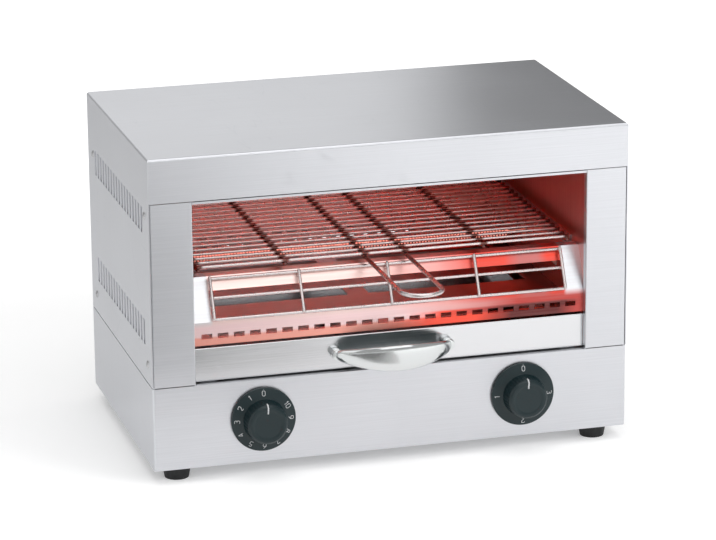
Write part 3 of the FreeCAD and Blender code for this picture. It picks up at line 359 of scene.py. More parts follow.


# tones of the painted red glow and the painted dark reflections on the reflector sheet; bare and streak are the
# sheet's own colour
heaterGlowTones = {
    "pale": (0.98, 0.75, 0.70), "dusty": (0.90, 0.38, 0.35), "hot": (0.82, 0.074, 0.047),
    "dusky": (0.56, 0.17, 0.16), "blush": (1.0, 0.73, 0.73), "rose": (0.86, 0.44, 0.42),
    "salmon": (0.98, 0.42, 0.34), "red": (0.95, 0.09, 0.05), "deep": (0.52, 0.07, 0.06),
    "dark": (0.12, 0.02, 0.02), "grey": (0.84, 0.80, 0.86), "bare": (0.80, 0.82, 0.85), "streak": (0.60, 0.42, 0.40),
}
heaterShade = {
    # where each part takes which tone, as shares of the span; the waves add 0.03 m to x on average
    "span": (-0.17, 0.23), "wave": 0.06,
    "slope": ((0.0, "pale"), (0.40, "pale"), (0.62, "dusty"), (0.70, "hot"), (0.77, "hot"), (0.80, "dusky"),
              (0.85, "dusky"), (0.88, "hot")),
    "lip": ((0.0, "blush"), (0.47, "blush"), (0.64, "rose"), (0.78, "deep"), (0.95, "deep")),
    "slots": ((0.0, "blush"), (0.52, "blush"), (0.62, "red"), (0.70, "deep"), (0.76, "dark"), (0.92, "dark"),
              (0.97, "deep")),
    "underSlots": ((0.0, "salmon"), (0.45, "salmon"), (0.58, "red"), (0.70, "red"), (0.77, "dark"), (0.90, "dark"),
                   (0.96, "deep")),
    "trough": ((0.0, "grey"), (0.55, "grey"), (0.75, "deep"), (0.84, "red"), (0.92, "dark")),
    # heights, distance of the bare ends from the middle, and depth at which the trough starts
    "lipTop": 0.1485, "slotTop": 0.1395, "slotMiddle": 0.1345, "ends": 0.168, "troughFront": front + 0.012,
}
finishes = {
    "brushed_stainless": sheetSteel("brushedStainless", (0.69, 0.70, 0.73), 0.34),
    "plain_stainless": sheetSteel("plainStainless", (0.59, 0.60, 0.625), 0.38, fineness=500.0),
    "chamber_sheet": chamberSheet("chamberSheet", (0.92, 0.64, 0.62), (0.74, 0.30, 0.28), (0.20, 0.56)),
    "reflector_sheet": heaterSheet("reflectorSheet", heaterGlowTones, heaterShade),
    "bright_wire": speckled("brightWire", (0.76, 0.69, 0.68), 0.28, metallic=1.0, scale=160.0, spread=0.08, bump=0.02),
    "polished_chrome": speckled("polishedChrome", (0.70, 0.72, 0.72), 0.15, metallic=1.0, spread=0.03, bump=0.02),
    "knob_plastic": speckled("knobPlastic", (0.002, 0.014, 0.017), 0.38, scale=900.0),
    "foot_rubber": speckled("footRubber", (0.005, 0.006, 0.006), 0.5),
    "steel_screw": speckled("steelScrew", (0.55, 0.55, 0.56), 0.30, metallic=1.0),
    "shaft_steel": speckled("shaftSteel", (0.60, 0.60, 0.61), 0.28, metallic=1.0),
    "control_case": speckled("controlCase", (0.10, 0.10, 0.11), 0.45),
    "terminal_plastic": speckled("terminalPlastic", (0.72, 0.71, 0.66), 0.45),
    "gland_plastic": speckled("glandPlastic", (0.03, 0.03, 0.03), 0.45),
    "white_ceramic": speckled("whiteCeramic", (0.84, 0.82, 0.77), 0.62),
    "bus_metal": speckled("busMetal", (0.60, 0.55, 0.50), 0.38, metallic=1.0),
    "lead_sleeve": speckled("leadSleeve", (0.66, 0.64, 0.58), 0.55),
    "quartz": quartzGlass(),
    "glowing_winding": glowingWire("glowingWinding", 3.5, (1.0, 0.10, 0.06), (1.0, 0.22, 0.14)),
}
lowerWinding = glowingWire("lowerWinding", 1.1, (1.0, 0.40, 0.34), (1.0, 0.56, 0.49))
# the shelf's rods and loop: bright in front, darker inside the chamber as painted shade
shadePaintedWire = heatedWire("shadePaintedWire", (0.76, 0.70, 0.69), (0.20, 0.08, 0.07), band=(front - 0.03, front + 0.01))
weldedWire = heatedWire("weldedWire", (0.86, 0.79, 0.78), (0.16, 0.06, 0.05),
                        spots={"places": (0.019, 0.094, 0.175), "reach": (0.0022, 0.0050)})
ownFinishes = {
    "crumb_tray": sheetSteel("traySteel", (0.74, 0.745, 0.76), 0.18, streaks=0.03, bump=0.008, scuffs=0.05),
    # the chamber's back with the red glow painted into its colour, paler at the left as painted light
    "chamber_back": chamberSheet("chamberBackGlow", (0.96, 0.74, 0.72), (0.50, 0.18, 0.17), (0.34, 0.64)),
}
for part in frame["record"]["subparts"]:
    node = nodes[part["node"]]
    node.data.materials.clear()
    node.data.materials.append(ownFinishes.get(part["node"], finishes[part["material_slot"]]))
print("materials set")


# Surfaces: each shape is (points, quads, triangles) worked out on a grid

def unit(vector):
    return vector / np.linalg.norm(vector, axis=-1, keepdims=True)


def closedLoft(rings):
    # rings of points, (count, around, 3), joined by quads; a fan about its own middle closes each end
    count, around = rings.shape[:2]
    points = np.concatenate((rings.reshape(-1, 3), rings[:1].mean(axis=1), rings[-1:].mean(axis=1)))
    row, column = np.meshgrid(np.arange(count - 1), np.arange(around), indexing="ij")
    following = (column + 1) % around
    quads = np.stack((row * around + column, row * around + following,
                      (row + 1) * around + following, (row + 1) * around + column), axis=-1).reshape(-1, 4)
    here = np.arange(around)
    after = (here + 1) % around
    top = (count - 1) * around
    middle = np.full(around, count * around)
    fans = np.concatenate((np.stack((after, here, middle), axis=-1),
                           np.stack((top + here, top + after, middle + 1), axis=-1)))
    # signed volume: a shell that is inside out is turned round
    halves = np.concatenate((quads[:, [0, 1, 2]], quads[:, [0, 2, 3]], fans))
    a, b, c = (points[halves[:, i]] - points[-1] for i in range(3))
    if np.einsum("ij,ij->i", a, np.cross(b, c)).sum() < 0:
        quads, fans = quads[:, ::-1], fans[:, ::-1]
    return points, quads, fans


def tube(path, radius, reference, sides=14):
    # circle of the radius carried square to the path; the path never runs along the reference direction
    along = unit(np.gradient(path, axis=0))
    across = unit(np.cross(along, reference))[:, None]
    upward = np.cross(across, along[:, None])
    turn = np.linspace(0, 2 * np.pi, sides, endpoint=False)[None, :, None]
    reach = np.broadcast_to(radius, len(path))[:, None, None]
    return closedLoft(path[:, None] + reach * (np.cos(turn) * across + np.sin(turn) * upward))


def rod(path, radius, reference=(0, 0, 1), sides=14):
    # tube with half-round ends: over the last radius of its length it closes as a circle does
    path = np.asarray(path, float)
    swing = np.linspace(0.2, np.pi / 2, 4)
    back = radius * (1 - np.cos(swing))
    start = path[0] + np.outer(back, unit(path[1] - path[0]))
    finish = path[-1] + np.outer(back, unit(path[-2] - path[-1]))
    radii = np.concatenate((radius * np.sin(swing), np.full(len(path) - 2, radius), radius * np.sin(swing)[::-1]))
    return tube(np.concatenate((start, path[1:-1], finish[::-1])), radii, reference, sides)


def roundedPath(corners, bend, steps=9):
    # straight runs joined by arcs of the bend's radius, each touching the runs at both sides of its corner
    corners = np.asarray(corners, float)
    runs = [corners[:1]]
    for before, corner, after in zip(corners, corners[1:], corners[2:]):
        arriving, leaving = unit(corner - before), unit(after - corner)
        turn = np.arccos(np.clip(arriving @ leaving, -1, 1))
        middle = corner + unit(leaving - arriving) * bend / np.cos(turn / 2)
        spoke = corner - arriving * bend * np.tan(turn / 2) - middle
        swing = np.linspace(0, turn, steps)[:, None]
        runs.append(middle + spoke * np.cos(swing) + arriving * bend * np.sin(swing))
    runs.append(corners[-1:])
    return np.concatenate(runs)


def squareTo(axis):
    # two directions square to the axis and to each other
    side = unit(np.cross(axis, (0.36, 0.48, 0.8)))
    return side, np.cross(axis, side)


def turned(profile, place, axis, around=64, flutes=None):
    # profile of (level along the axis, radius) turned about it; flutes may vary the radius with the angle
    profile = np.asarray(profile, float)
    axis = unit(np.asarray(axis, float))
    side, third = squareTo(axis)
    turn = np.linspace(0, 2 * np.pi, around, endpoint=False)
    radius = np.repeat(profile[:, 1:], around, axis=1)
    if flutes:
        radius = radius + flutes(profile[:, :1], turn[None])
    spokes = np.cos(turn)[:, None] * side + np.sin(turn)[:, None] * third
    return closedLoft(np.asarray(place) + profile[:, :1, None] * axis + radius[..., None] * spokes)


def beads(places, size):
    # weld nuggets: small ellipsoids, one at each place
    polar = np.linspace(0.3, np.pi - 0.3, 6)[:, None]
    turn = np.linspace(0, 2 * np.pi, 9, endpoint=False)[None]
    ball = np.stack((np.sin(polar) * np.cos(turn), np.sin(polar) * np.sin(turn), np.cos(polar) + 0 * turn), axis=-1)
    return [closedLoft(np.asarray(place) + ball * size) for place in places]


def addPiece(name, shapes, slot, body, stands=(), material=None, crease=38):
    points, faces, offset = [], [], 0
    for shape, quads, triangles in shapes:
        points.append(shape)
        faces += (quads + offset).tolist() + (triangles + offset).tolist()
        offset += len(shape)
    mesh = bpy.data.meshes.new(name)
    mesh.from_pydata(np.concatenate(points).tolist(), [], faces)
    mesh.polygons.foreach_set("use_smooth", np.ones(len(faces), dtype=bool))
    mesh.set_sharp_from_angle(angle=math.radians(crease))
    mesh.materials.append(material or finishes[slot])
    piece = bpy.data.objects.new(name, mesh)
    bpy.context.scene.collection.objects.link(piece)
    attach(piece, body)
    if stands:
        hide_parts(*stands)
    return piece


# Wire shelf and its handle

shelf = {
    "half": 0.175, "inner": 0.094,  # where the four lengthways rods lie
    "front": front + 0.025, "back": front + 0.245,
    "level": 0.192,
    "rod": 0.002, "wire": 0.0015,
    "bite": 0.0003,  # how far a weld lets a wire into a rod
    "wires": 17,
    "nugget": (0.0019, 0.0019, 0.0009),
}
shelfLoop = {"half": 0.019, "nose": front - 0.108, "radius": 0.002, "bend": 0.018}


def makeShelf(s, loop):
    over = s["level"] + s["rod"] + s["wire"] - s["bite"]
    reach = s["half"] + s["rod"]
    crossings = np.linspace(s["front"], s["back"], s["wires"])
    rods = (-s["half"], -s["inner"], s["inner"], s["half"])
    shapes = [rod([(-reach, y, over), (0, y, over), (reach, y, over)], s["wire"]) for y in crossings]
    addPiece("shelfWires", shapes, "bright_wire", "rack", ["rack"], material=weldedWire)
    depths = (s["front"] - s["wire"], front + 0.13, s["back"] + s["wire"])
    shapes = [rod([(x, y, s["level"]) for y in depths], s["rod"]) for x in rods]
    nuggets = [(x, y, s["level"] + s["rod"]) for x in rods for y in crossings]
    shapes += beads(nuggets, s["nugget"])
    addPiece("shelfRods", shapes, "bright_wire", "rack", material=shadePaintedWire)

    corners = [(side * loop["half"], y, s["level"]) for side, y in (
        (1, s["back"]), (1, loop["nose"]), (-1, loop["nose"]), (-1, s["back"]))]
    bow = rod(roundedPath(corners, loop["bend"]), loop["radius"], sides=18)
    nuggets = [(side * loop["half"], y, s["level"] + loop["radius"]) for side in (-1, 1) for y in crossings]
    addPiece("shelfHandle", [bow] + beads(nuggets, s["nugget"]), "bright_wire", "rack", ["rack_handle"],
             material=shadePaintedWire)


makeShelf(shelf, shelfLoop)


# Wire guards over and under the shelf

plateGuard = {
    "half": 0.166, "radius": 0.0015,
    # the sloped plate's lower and upper edge, (y, z)
    "foot": (front + 0.007, 0.1485), "top": (front + 0.026, 0.186),
    "railHeights": (0.03, 0.5, 0.92), "legHeights": (0.045, 0.85),  # shares of the slope
    "stand": 0.0036, "tieStand": 0.0063,
    "ties": 5,
    "nugget": (0.0016, 0.0012, 0.0016),
}
ceilingGuard = {
    "half": 0.178, "gridHalf": 0.166, "near": front + 0.059, "far": front + 0.221,
    "level": 0.2625, "over": 0.2652,  # heights of the long wires and of those that lie across them
    "radius": 0.0015, "rows": 4, "columns": 3,
    "nugget": (0.0016, 0.0016, 0.0009),
}


def makePlateGuard(g):
    foot, top = np.array((0, *g["foot"])), np.array((0, *g["top"]))
    slope = top - foot
    outward = unit(np.cross(slope, (1, 0, 0)))
    outward *= -np.sign(outward[1])

    def onPlate(across, share, stand):
        return foot + slope * share + outward * stand + np.array((across, 0, 0))

    shapes, nuggets = [], []
    places = np.linspace(-g["half"], g["half"], g["ties"])
    for share in g["railHeights"]:
        shapes.append(rod([onPlate(x, share, g["stand"]) for x in (-g["half"], 0, g["half"])], g["radius"]))
        nuggets += [onPlate(x, share, (g["stand"] + g["tieStand"]) / 2) for x in places]
    for x in places:
        shapes.append(rod([onPlate(x, share, g["tieStand"]) for share in (0, 0.5, 0.97)], g["radius"], (1, 0, 0)))
        for share in g["legHeights"]:
            ends = (0.0001, g["tieStand"] / 2, g["tieStand"])
            shapes.append(rod([onPlate(x, share, stand) for stand in ends], g["radius"], (1, 0, 0)))
    addPiece("plateGuardWires", shapes + beads(nuggets, g["nugget"]), "bright_wire", "cabinet", ["lower_guard"])


def makeCeilingGuard(g):
    rows = g["near"] + (g["far"] - g["near"]) * (np.arange(g["rows"]) + 0.5) / g["rows"]
    columns = g["gridHalf"] * (2 * (np.arange(g["columns"]) + 0.5) / g["columns"] - 1)
    shapes = [rod([(x, y, g["level"]) for x in (-g["half"], 0, g["half"])], g["radius"]) for y in rows]
    shapes += [rod([(x, y, g["over"]) for y in np.linspace(g["near"], g["far"], 3)], g["radius"]) for x in columns]
    nuggets = [(x, y, (g["level"] + g["over"]) / 2) for x in columns for y in rows]
    addPiece("ceilingGuardWires", shapes + beads(nuggets, g["nugget"]), "bright_wire", "cabinet", ["upper_guard"])


makePlateGuard(plateGuard)
makeCeilingGuard(ceilingGuard)
print("wire work made")


# Heating windings: a coil in each quartz tube, on straight legs

winding = {
    "radius": 0.0030, "wire": 0.00048, "pitch": 0.0030,
    "half": 0.170,  # half the coil's length
    "legEnd": 0.208, "legRadius": 0.0014,
    "rows": {"lower": 0.156, "upper": 0.273}, "columns": {"front": front + 0.095, "back": front + 0.185},
}


def makeWinding(row, column, place, w):
    # helix about the tube's axis; over its first and last turn it comes in to the leg on the axis
    x = np.linspace(-w["half"], w["half"], int(24 * w["half"] / w["pitch"]) + 1)
    angle = 2 * np.pi * x / w["pitch"]
    opening = np.clip((w["half"] - np.abs(x)) / w["pitch"], 0, 1)
    reach = w["radius"] * (0.35 + 0.65 * opening)
    path = np.stack((x, place[0] + reach * np.cos(angle), place[1] + reach * np.sin(angle)), axis=-1)
    shapes = [tube(path, w["wire"], (1, 0, 0), sides=6)]
    for side in (-1, 1):
        leg = [(side * part, *place) for part in (w["legEnd"], w["legEnd"] - 0.01, w["half"] - 0.002)]
        shapes.append(rod(leg, w["legRadius"]))
    addPiece(row + column.title() + "Coil", shapes, "glowing_winding", "cabinet", [f"{row}_{column}_element"],
             material=lowerWinding if row == "lower" else None)


for row, up in winding["rows"].items():
    for column, back in winding["columns"].items():
        makeWinding(row, column, (back, up), winding)
print("windings made")


# Bow handle of the crumb tray

bowHandle = {
    # the band's middle line: half its length, y at its middle and at its ends
    "half": 0.0555, "crown": front - 0.02675, "end": front + 0.00125,
    "level": 0.109, "halfHeight": 0.012, "tipHalfHeight": 0.0045,
    "bulge": 0.0021, "back": 0.0010,  # thickness in front of and behind the middle line
    "roundEnd": 0.007,
    "studPlace": 0.053, "studRadius": 0.0055, "studFront": front - 0.0026, "studBack": front + 0.0068,
}


def makeBowHandle(h):
    # section: a flattened oval, fuller in front; its height falls with the square of the way to the tip, and
    # it is carried along a circular arc; the last part closes as a half circle does
    sagitta = h["end"] - h["crown"]
    bowRadius = (h["half"] ** 2 + sagitta ** 2) / (2 * sagitta)
    x = h["half"] * np.sin(np.linspace(-np.pi / 2, np.pi / 2, 90))[1:-1, None]
    drop = np.sqrt(bowRadius ** 2 - x ** 2)
    y = h["crown"] + bowRadius - drop
    closing = np.sqrt(np.clip(1 - np.clip((np.abs(x) - h["half"] + h["roundEnd"]) / h["roundEnd"], 0, 1) ** 2, 0, 1))
    height = (h["halfHeight"] - (h["halfHeight"] - h["tipHalfHeight"]) * (x / h["half"]) ** 2) * closing
    turn = np.linspace(0, 2 * np.pi, 40, endpoint=False)[None]
    rise = height * np.sign(np.sin(turn)) * np.abs(np.sin(turn)) ** 0.8
    depth = np.where(np.cos(turn) > 0, h["bulge"], h["back"])
    out = depth * np.sign(np.cos(turn)) * np.abs(np.cos(turn)) ** 0.9 * (0.4 + 0.6 * closing)
    rings = np.stack((x + out * x / bowRadius, y - out * drop / bowRadius, h["level"] + rise), axis=-1)
    shapes = [closedLoft(rings)]
    r, near, far = h["studRadius"], h["studFront"], h["studBack"]
    profile = roundedPath([(near, 0), (near, r - 0.0006), (near + 0.0024, r - 0.0006), (near + 0.0027, r),
                           (far, r), (far, 0)], 0.0003, 5)
    shapes += [turned(profile, (side * h["studPlace"], 0, h["level"]), (0, 1, 0), 40) for side in (-1, 1)]
    piece = addPiece("trayBowHandle", shapes, "polished_chrome", "tray", ["tray_handle"])
    # faces that look back, apart from those of the studs, get a darker, rougher finish
    facing = np.empty(len(piece.data.polygons) * 3, np.float32)
    piece.data.polygons.foreach_get("normal", facing)
    middles = np.empty_like(facing)
    piece.data.polygons.foreach_get("center", middles)
    behind = (facing[1::3] > 0.2) & (np.abs(middles[::3]) < h["studPlace"] - h["studRadius"])
    piece.data.materials.append(darkBowBack)
    piece.data.polygons.foreach_set("material_index", behind.astype(np.int32))


darkBowBack = speckled("darkBowBack", (0.13, 0.16, 0.16), 0.42, metallic=1.0, scale=300.0)  # darker, rougher back of the bow
makeBowHandle(bowHandle)


# Knobs with their printed dials; levels are along the shaft, outwards from the housing's face

knobShape = {
    "front": front, "height": 0.055, "across": 0.1235,
    "bore": 0.015, "shaft": 0.003,
    "back": 0.001, "skirt": 0.030, "skirtEdge": 0.0034, "capFoot": 0.020, "capFootLevel": 0.0054,
    "capRim": 0.0186, "capRimLevel": 0.0190, "face": 0.0165, "reach": 0.021, "dish": 0.0006,
    "flutes": 36, "fluteDepth": 0.0005,
}
dial = {
    "radius": 0.0252, "height": 0.0046, "stroke": 0.00034, "sunk": 0.00020,
    "advance": 0.72,  # from one digit to the next, as a share of the height
    "tickInner": 0.0272, "tickOuter": 0.0288,
    "tone": (0.62, 0.63, 0.64),
}
digitStrokes = {  # corner points in a box 0.6 wide and 1 high, and how tightly they are rounded
    "0": ([[(0.3, 1), (0.6, 1), (0.6, 0), (0, 0), (0, 1), (0.3, 1)]], 0.26),
    "1": ([[(0.12, 0.78), (0.34, 1), (0.34, 0)]], 0.02),
    "2": ([[(0, 0.76), (0, 1), (0.6, 1), (0.6, 0.6), (0, 0), (0.6, 0)]], 0.12),
    "3": ([[(0, 1), (0.6, 1), (0.6, 0.53), (0.2, 0.53)], [(0.2, 0.53), (0.6, 0.53), (0.6, 0), (0, 0)]], 0.2),
    "4": ([[(0.45, 0), (0.45, 1), (0, 0.3), (0.6, 0.3)]], 0.02),
    "5": ([[(0.55, 1), (0.06, 1), (0.06, 0.58), (0.6, 0.58), (0.6, 0), (0, 0)]], 0.1),
    "6": ([[(0.5, 1), (0, 0.6), (0, 0), (0.6, 0), (0.6, 0.55), (0.05, 0.55)]], 0.18),
    "7": ([[(0, 1), (0.6, 1), (0.2, 0)]], 0.03),
    "8": ([[(0.3, 1), (0.54, 1), (0.54, 0.53), (0.06, 0.53), (0.06, 1), (0.3, 1)],
           [(0.3, 0.53), (0.6, 0.53), (0.6, 0), (0, 0), (0, 0.53), (0.3, 0.53)]], 0.2),
    "9": ([[(0.1, 0), (0.6, 0.4), (0.6, 1), (0, 1), (0, 0.45), (0.55, 0.45)]], 0.18),
}


def makeKnob(name, side, labels, k, d):
    place = np.array((side * k["across"], k["front"], k["height"]))
    profile = roundedPath([
        (k["bore"], 0), (k["bore"], k["shaft"]), (k["back"], k["shaft"]), (k["back"], k["skirt"]),
        (k["skirtEdge"], k["skirt"]), (k["capFootLevel"], k["capFoot"]), (k["capRimLevel"], k["capRim"]),
        (k["reach"], k["face"]), (k["reach"], k["face"] - 0.002), (k["reach"] - k["dish"], k["face"] - 0.004),
        (k["reach"] - k["dish"], 0)], 0.0004, 5)

    def flutes(level, turn):
        # shallow grooves round the cap's side only
        onSide = np.clip((level - k["capFootLevel"]) / 0.002, 0, 1) * np.clip((k["capRimLevel"] - level) / 0.002, 0, 1)
        return -k["fluteDepth"] * onSide * (0.5 + 0.5 * np.cos(k["flutes"] * turn))

    # the cap's side gets more rings, so that its grooves fade out towards both ends
    extra = np.linspace(k["capFootLevel"] + 0.0006, k["capRimLevel"] - 0.0006, 12)
    slope = np.interp(extra, (k["capFootLevel"], k["capRimLevel"]), (k["capFoot"], k["capRim"]))
    split = int(np.argmax((profile[:, 0] > extra[0]) & (profile[:, 1] < k["capFoot"]) & (profile[:, 1] > k["face"])))
    profile = np.concatenate((profile[:split], np.stack((extra, slope), axis=-1), profile[split:]))
    shape = turned(profile, place, (0, -1, 0), k["flutes"] * 6, flutes)
    addPiece(name + "Dial", [shape], "knob_plastic", name, [name + "_knob"])

    def onSkirt(angle, across, radius, sunk=d["sunk"]):
        # the skirt's face is a cone: its level falls evenly from the cap's foot to the edge
        share = (k["skirt"] - radius) / (k["skirt"] - k["capFoot"])
        level = k["skirtEdge"] + (k["capFootLevel"] - k["skirtEdge"]) * share - sunk
        return place + np.stack((np.sin(angle) * radius + np.cos(angle) * across, -level,
                                 np.cos(angle) * radius - np.sin(angle) * across), axis=-1)

    marks = []
    for degrees, label in labels:
        angle = math.radians(degrees)
        width = d["advance"] * len(label) - 0.12
        for position, digit in enumerate(label):
            strokes, bend = digitStrokes[digit]
            for stroke in strokes:
                drawn = roundedPath(stroke, bend, 6)
                across = (drawn[:, 0] + d["advance"] * position - width / 2) * d["height"]
                radius = d["radius"] + (drawn[:, 1] - 0.5) * d["height"]
                marks.append(rod(onSkirt(angle, across, radius), d["stroke"], (0, 1, 0), 8))
    # one tick, outside the 0
    ends = np.linspace(d["tickInner"], d["tickOuter"], 3)
    marks.append(rod(onSkirt(0.0, 0 * ends, ends + 0.0006), d["stroke"] * 0.7, (0, 1, 0), 8))
    # index: a bar over the cap's rim, from the face down its side
    rim = np.array([(k["face"] - 0.0062, k["reach"] - k["dish"]), (k["face"] - 0.0038, k["reach"] - k["dish"]),
                    (k["face"] - 0.0018, k["reach"]), (k["face"], k["reach"]), (k["capRim"], k["capRimLevel"]),
                    (k["capRim"] + 0.0002, k["capRimLevel"] - 0.003)])
    bar = place + np.stack((0 * rim[:, 0], -rim[:, 1], rim[:, 0]), axis=-1)
    marks.append(rod(bar, 0.0007, (1, 0, 0), 8))
    addPiece(name + "DialMarks", marks, "knob_plastic", name, material=printedMark)


printedMark = speckled("printedMark", dial["tone"], 0.55, scale=1500.0, spread=0.06)
makeKnob("timer", -1, [(-30.0 * number, str(number)) for number in range(11)], knobShape, dial)
makeKnob("selector", 1, [(-90.0 * number, str(number)) for number in range(4)], knobShape, dial)
print("knobs made")


# Feet: tapered rubber, with a well for the screw

footShape = {
    "across": 0.200, "rows": (front + 0.022, front + 0.246),
    "top": 0.015, "topRadius": 0.014, "bottomRadius": 0.0112,
    "well": 0.005, "wellDepth": 0.006, "hole": 0.002,
}


def makeFeet(f):
    profile = roundedPath([(f["wellDepth"], f["hole"]), (f["top"], f["hole"]), (f["top"], f["topRadius"]),
                           (0, f["bottomRadius"]), (0, f["well"]), (f["wellDepth"], f["well"]),
                           (f["wellDepth"], f["hole"] + 0.0001)], 0.0004, 4)
    shapes = [turned(profile, (side * f["across"], row, 0), (0, 0, 1), 48) for side in (-1, 1) for row in f["rows"]]
    addPiece("rubberFeet", shapes, "foot_rubber", "cabinet", ["feet"])


makeFeet(footShape)


# Screws: domed head with a crossed recess, and its shank

screw = {"radius": 0.0036, "height": 0.0014, "recess": 0.0011, "slotHalf": 0.00042, "slotReach": 0.0023,
         "shank": 0.0019, "length": 0.0055}


def screwShapes(place, axis, s):
    # dome: height falls with the fourth power of the way out; the cross is two soft-edged grooves
    axis = np.asarray(axis, float)
    side, third = squareTo(axis)
    out = np.concatenate((np.linspace(1, 0.72, 6), np.linspace(0.70, 0.02, 26)))[:, None]
    turn = np.linspace(0, 2 * np.pi, 72, endpoint=False)[None]
    a, b = out * np.cos(turn) * s["radius"], out * np.sin(turn) * s["radius"]
    groove = np.maximum(np.clip(2.2 * (1 - np.abs(a) / s["slotHalf"]), 0, 1),
                        np.clip(2.2 * (1 - np.abs(b) / s["slotHalf"]), 0, 1))
    groove *= np.clip((s["slotReach"] - out * s["radius"]) / 0.0003, 0, 1)
    level = s["height"] * (1 - out ** 4) - s["recess"] * groove
    grid = np.asarray(place) + a[..., None] * side + b[..., None] * third + level[..., None] * axis
    shank = [np.asarray(place) + axis * part for part in (0.0002, -s["length"] / 2, -s["length"])]
    return [closedLoft(grid), rod(shank, s["shank"], side)]


def makeScrews(name, node, places, axis, s):
    shapes = [shape for place in places for shape in screwShapes(place, axis(place), s)]
    addPiece(name, shapes, "steel_screw", "cabinet", [node], crease=50)


makeScrews("coverScrews", "side_screws",
           [(x, front + back, z) for x in (-0.225, 0.225) for back in (0.017, 0.245) for z in (0.111, 0.250)],
           lambda place: (np.sign(place[0]), 0, 0), screw)
makeScrews("panelScrews", "back_screws", [(x, front + 0.268, 0.024) for x in (-0.190, 0, 0.190)],
           lambda place: (0, 1, 0), screw)
print("feet and screws made")


# Studio

studio = {
    "floorReach": 6.0, "floorTone": 0.93,
    "floorGlow": (0.26, 0.60), "glowReach": (0.5, 1.3), "glossyShare": 0.6,  # the share that mirror images show
    "worldLevel": 0.42,
    "lampPower": 23.0,
    "lamps": [
        # name, place, size, share of the power, aimed at, shown in mirror images
        ("softboxBehind", (-0.05, 1.1, 0.8), (0.9, 0.7), 0.048, (-0.1, 0.05, 0.3), True),
        ("softboxFront", (0.30, -2.1, 1.45), (2.3, 1.4), 0.50, (0, -0.1, 0.17), True),
        ("softboxRight", (1.9, -1.8, 1.3), (1.6, 1.6), 1.3, (0.1, 0, 0.15), False),
        ("softboxLeft", (-2.2, -0.8, 1.1), (1.4, 1.4), 0.20, (0, 0, 0.15), True),
        ("softboxOver", (0, -0.3, 2.4), (2.4, 2.0), 0.9, (0, 0, 0.2), True),
    ],
    "flags": [
        # cards for mirror images: name, corners, two greys, the axis along which one turns into the other, from and to
        ("flagFront", [(-1.1, -1.7, 0.003), (0.06, -1.7, 0.003), (0.06, -0.36, 0.003), (-1.1, -0.36, 0.003)],
         (0.16, 0.75), 0, (-0.20, 0.06)),
        ("flagBehind", [(0.32, 0.75, 0.32), (1.2, 0.75, 0.32), (1.2, 0.75, 1.0), (0.32, 0.75, 1.0)],
         (0.16, 0.16), 0, (0.32, 1.2)),
        ("flagLeft", [(-1.6, 0.15, 0.003), (-0.24, 0.15, 0.003), (-0.24, 1.8, 0.003), (-1.6, 1.8, 0.003)],
         (1.0, 0.88), 1, (0.15, 0.75)),
    ],
}


def card(name, corners, material):
    mesh = bpy.data.meshes.new(name)
    mesh.from_pydata(corners, [], [(0, 1, 2, 3)])
    mesh.materials.append(material)
    sheet = bpy.data.objects.new(name, mesh)
    bpy.context.scene.collection.objects.link(sheet)
    return sheet


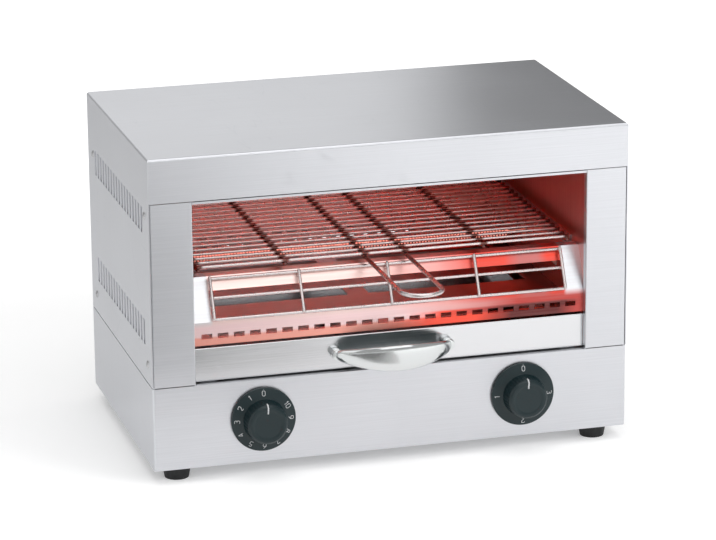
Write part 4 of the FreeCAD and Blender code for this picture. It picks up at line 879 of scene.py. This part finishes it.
def makeFloor(s):
    material, tree, shader = newMaterial("floorPaper")
    grain = useGroup(tree, speckle, Scale=30.0)
    tone = s["floorTone"]
    tree.links.new(mixColours(tree, grain.outputs["Value"], (tone,) * 3, (tone + 0.01,) * 3),
                   shader.inputs["Base Color"])
    shader.inputs["Roughness"].default_value = 0.9
    shader.inputs["Specular IOR Level"].default_value = 0.1
    path = wire(tree, "LightPath")
    mirrored = maths(tree, "MULTIPLY", path.outputs["Is Glossy Ray"], s["glossyShare"])
    seen = maths(tree, "MAXIMUM", path.outputs["Is Camera Ray"], mirrored)
    seen = maths(tree, "MAXIMUM", seen, path.outputs["Is Transmission Ray"])
    shader.inputs["Emission Color"].default_value = (1, 1, 1, 1)
    # the paper grows brighter away from the object
    away = wire(tree, "VectorMath", {0: wire(tree, "TexCoord").outputs["Object"]}, operation="LENGTH")
    glow = fade(tree, away.outputs["Value"], *s["glowReach"], *s["floorGlow"], interpolation_type="SMOOTHSTEP")
    tree.links.new(maths(tree, "MULTIPLY", seen, glow), shader.inputs["Emission Strength"])
    reach = s["floorReach"]
    card("floor", [(-reach, -reach, 0), (reach, -reach, 0), (reach, reach, 0), (-reach, reach, 0)], material)


def makeWorld(level):
    # white to the camera, dimmer as a source of light
    world = bpy.data.worlds.new("studioWorld")
    bpy.context.scene.world = world
    world.use_nodes = True
    tree = world.node_tree
    tree.nodes.clear()
    path = wire(tree, "LightPath")
    seen = maths(tree, "MAXIMUM", path.outputs["Is Camera Ray"], path.outputs["Is Transmission Ray"])
    strength = maths(tree, "ADD", level, maths(tree, "MULTIPLY", seen, 1 - level))
    background = wire(tree, "Background", {"Color": (1, 1, 1, 1), "Strength": strength})
    wire(tree, "OutputWorld", {"Surface": background.outputs[0]})


def makeLamp(name, place, size, power, target, mirrored):
    data = bpy.data.lights.new(name, "AREA")
    data.shape = "RECTANGLE"
    data.size, data.size_y = size
    data.energy = power
    lamp = bpy.data.objects.new(name, data)
    bpy.context.scene.collection.objects.link(lamp)
    lamp.visible_glossy = mirrored
    lamp.location = place
    lamp.rotation_euler = (Vector(target) - Vector(place)).to_track_quat("-Z", "Y").to_euler()


def makeFlag(name, corners, greys, axis, edges):
    material, tree, shader = newMaterial(name + "Card")
    grain = useGroup(tree, speckle, Scale=30.0)
    tone = mixColours(tree, fade(tree, objectPlace(tree)[axis], *edges), (greys[0],) * 3, (greys[1],) * 3)
    tree.links.new(mixColours(tree, maths(tree, "MULTIPLY", grain.outputs["Value"], 0.1), tone, (1.0, 1.0, 1.0)),
                   shader.inputs["Base Color"])
    shader.inputs["Roughness"].default_value = 1.0
    flag = card(name, corners, material)
    flag.visible_camera = flag.visible_diffuse = flag.visible_shadow = False


makeFloor(studio)
makeWorld(studio["worldLevel"])
for name, place, size, share, target, mirrored in studio["lamps"]:
    makeLamp(name, place, size, studio["lampPower"] * share, target, mirrored)
for flag in studio["flags"]:
    makeFlag(*flag)
print("studio lit")
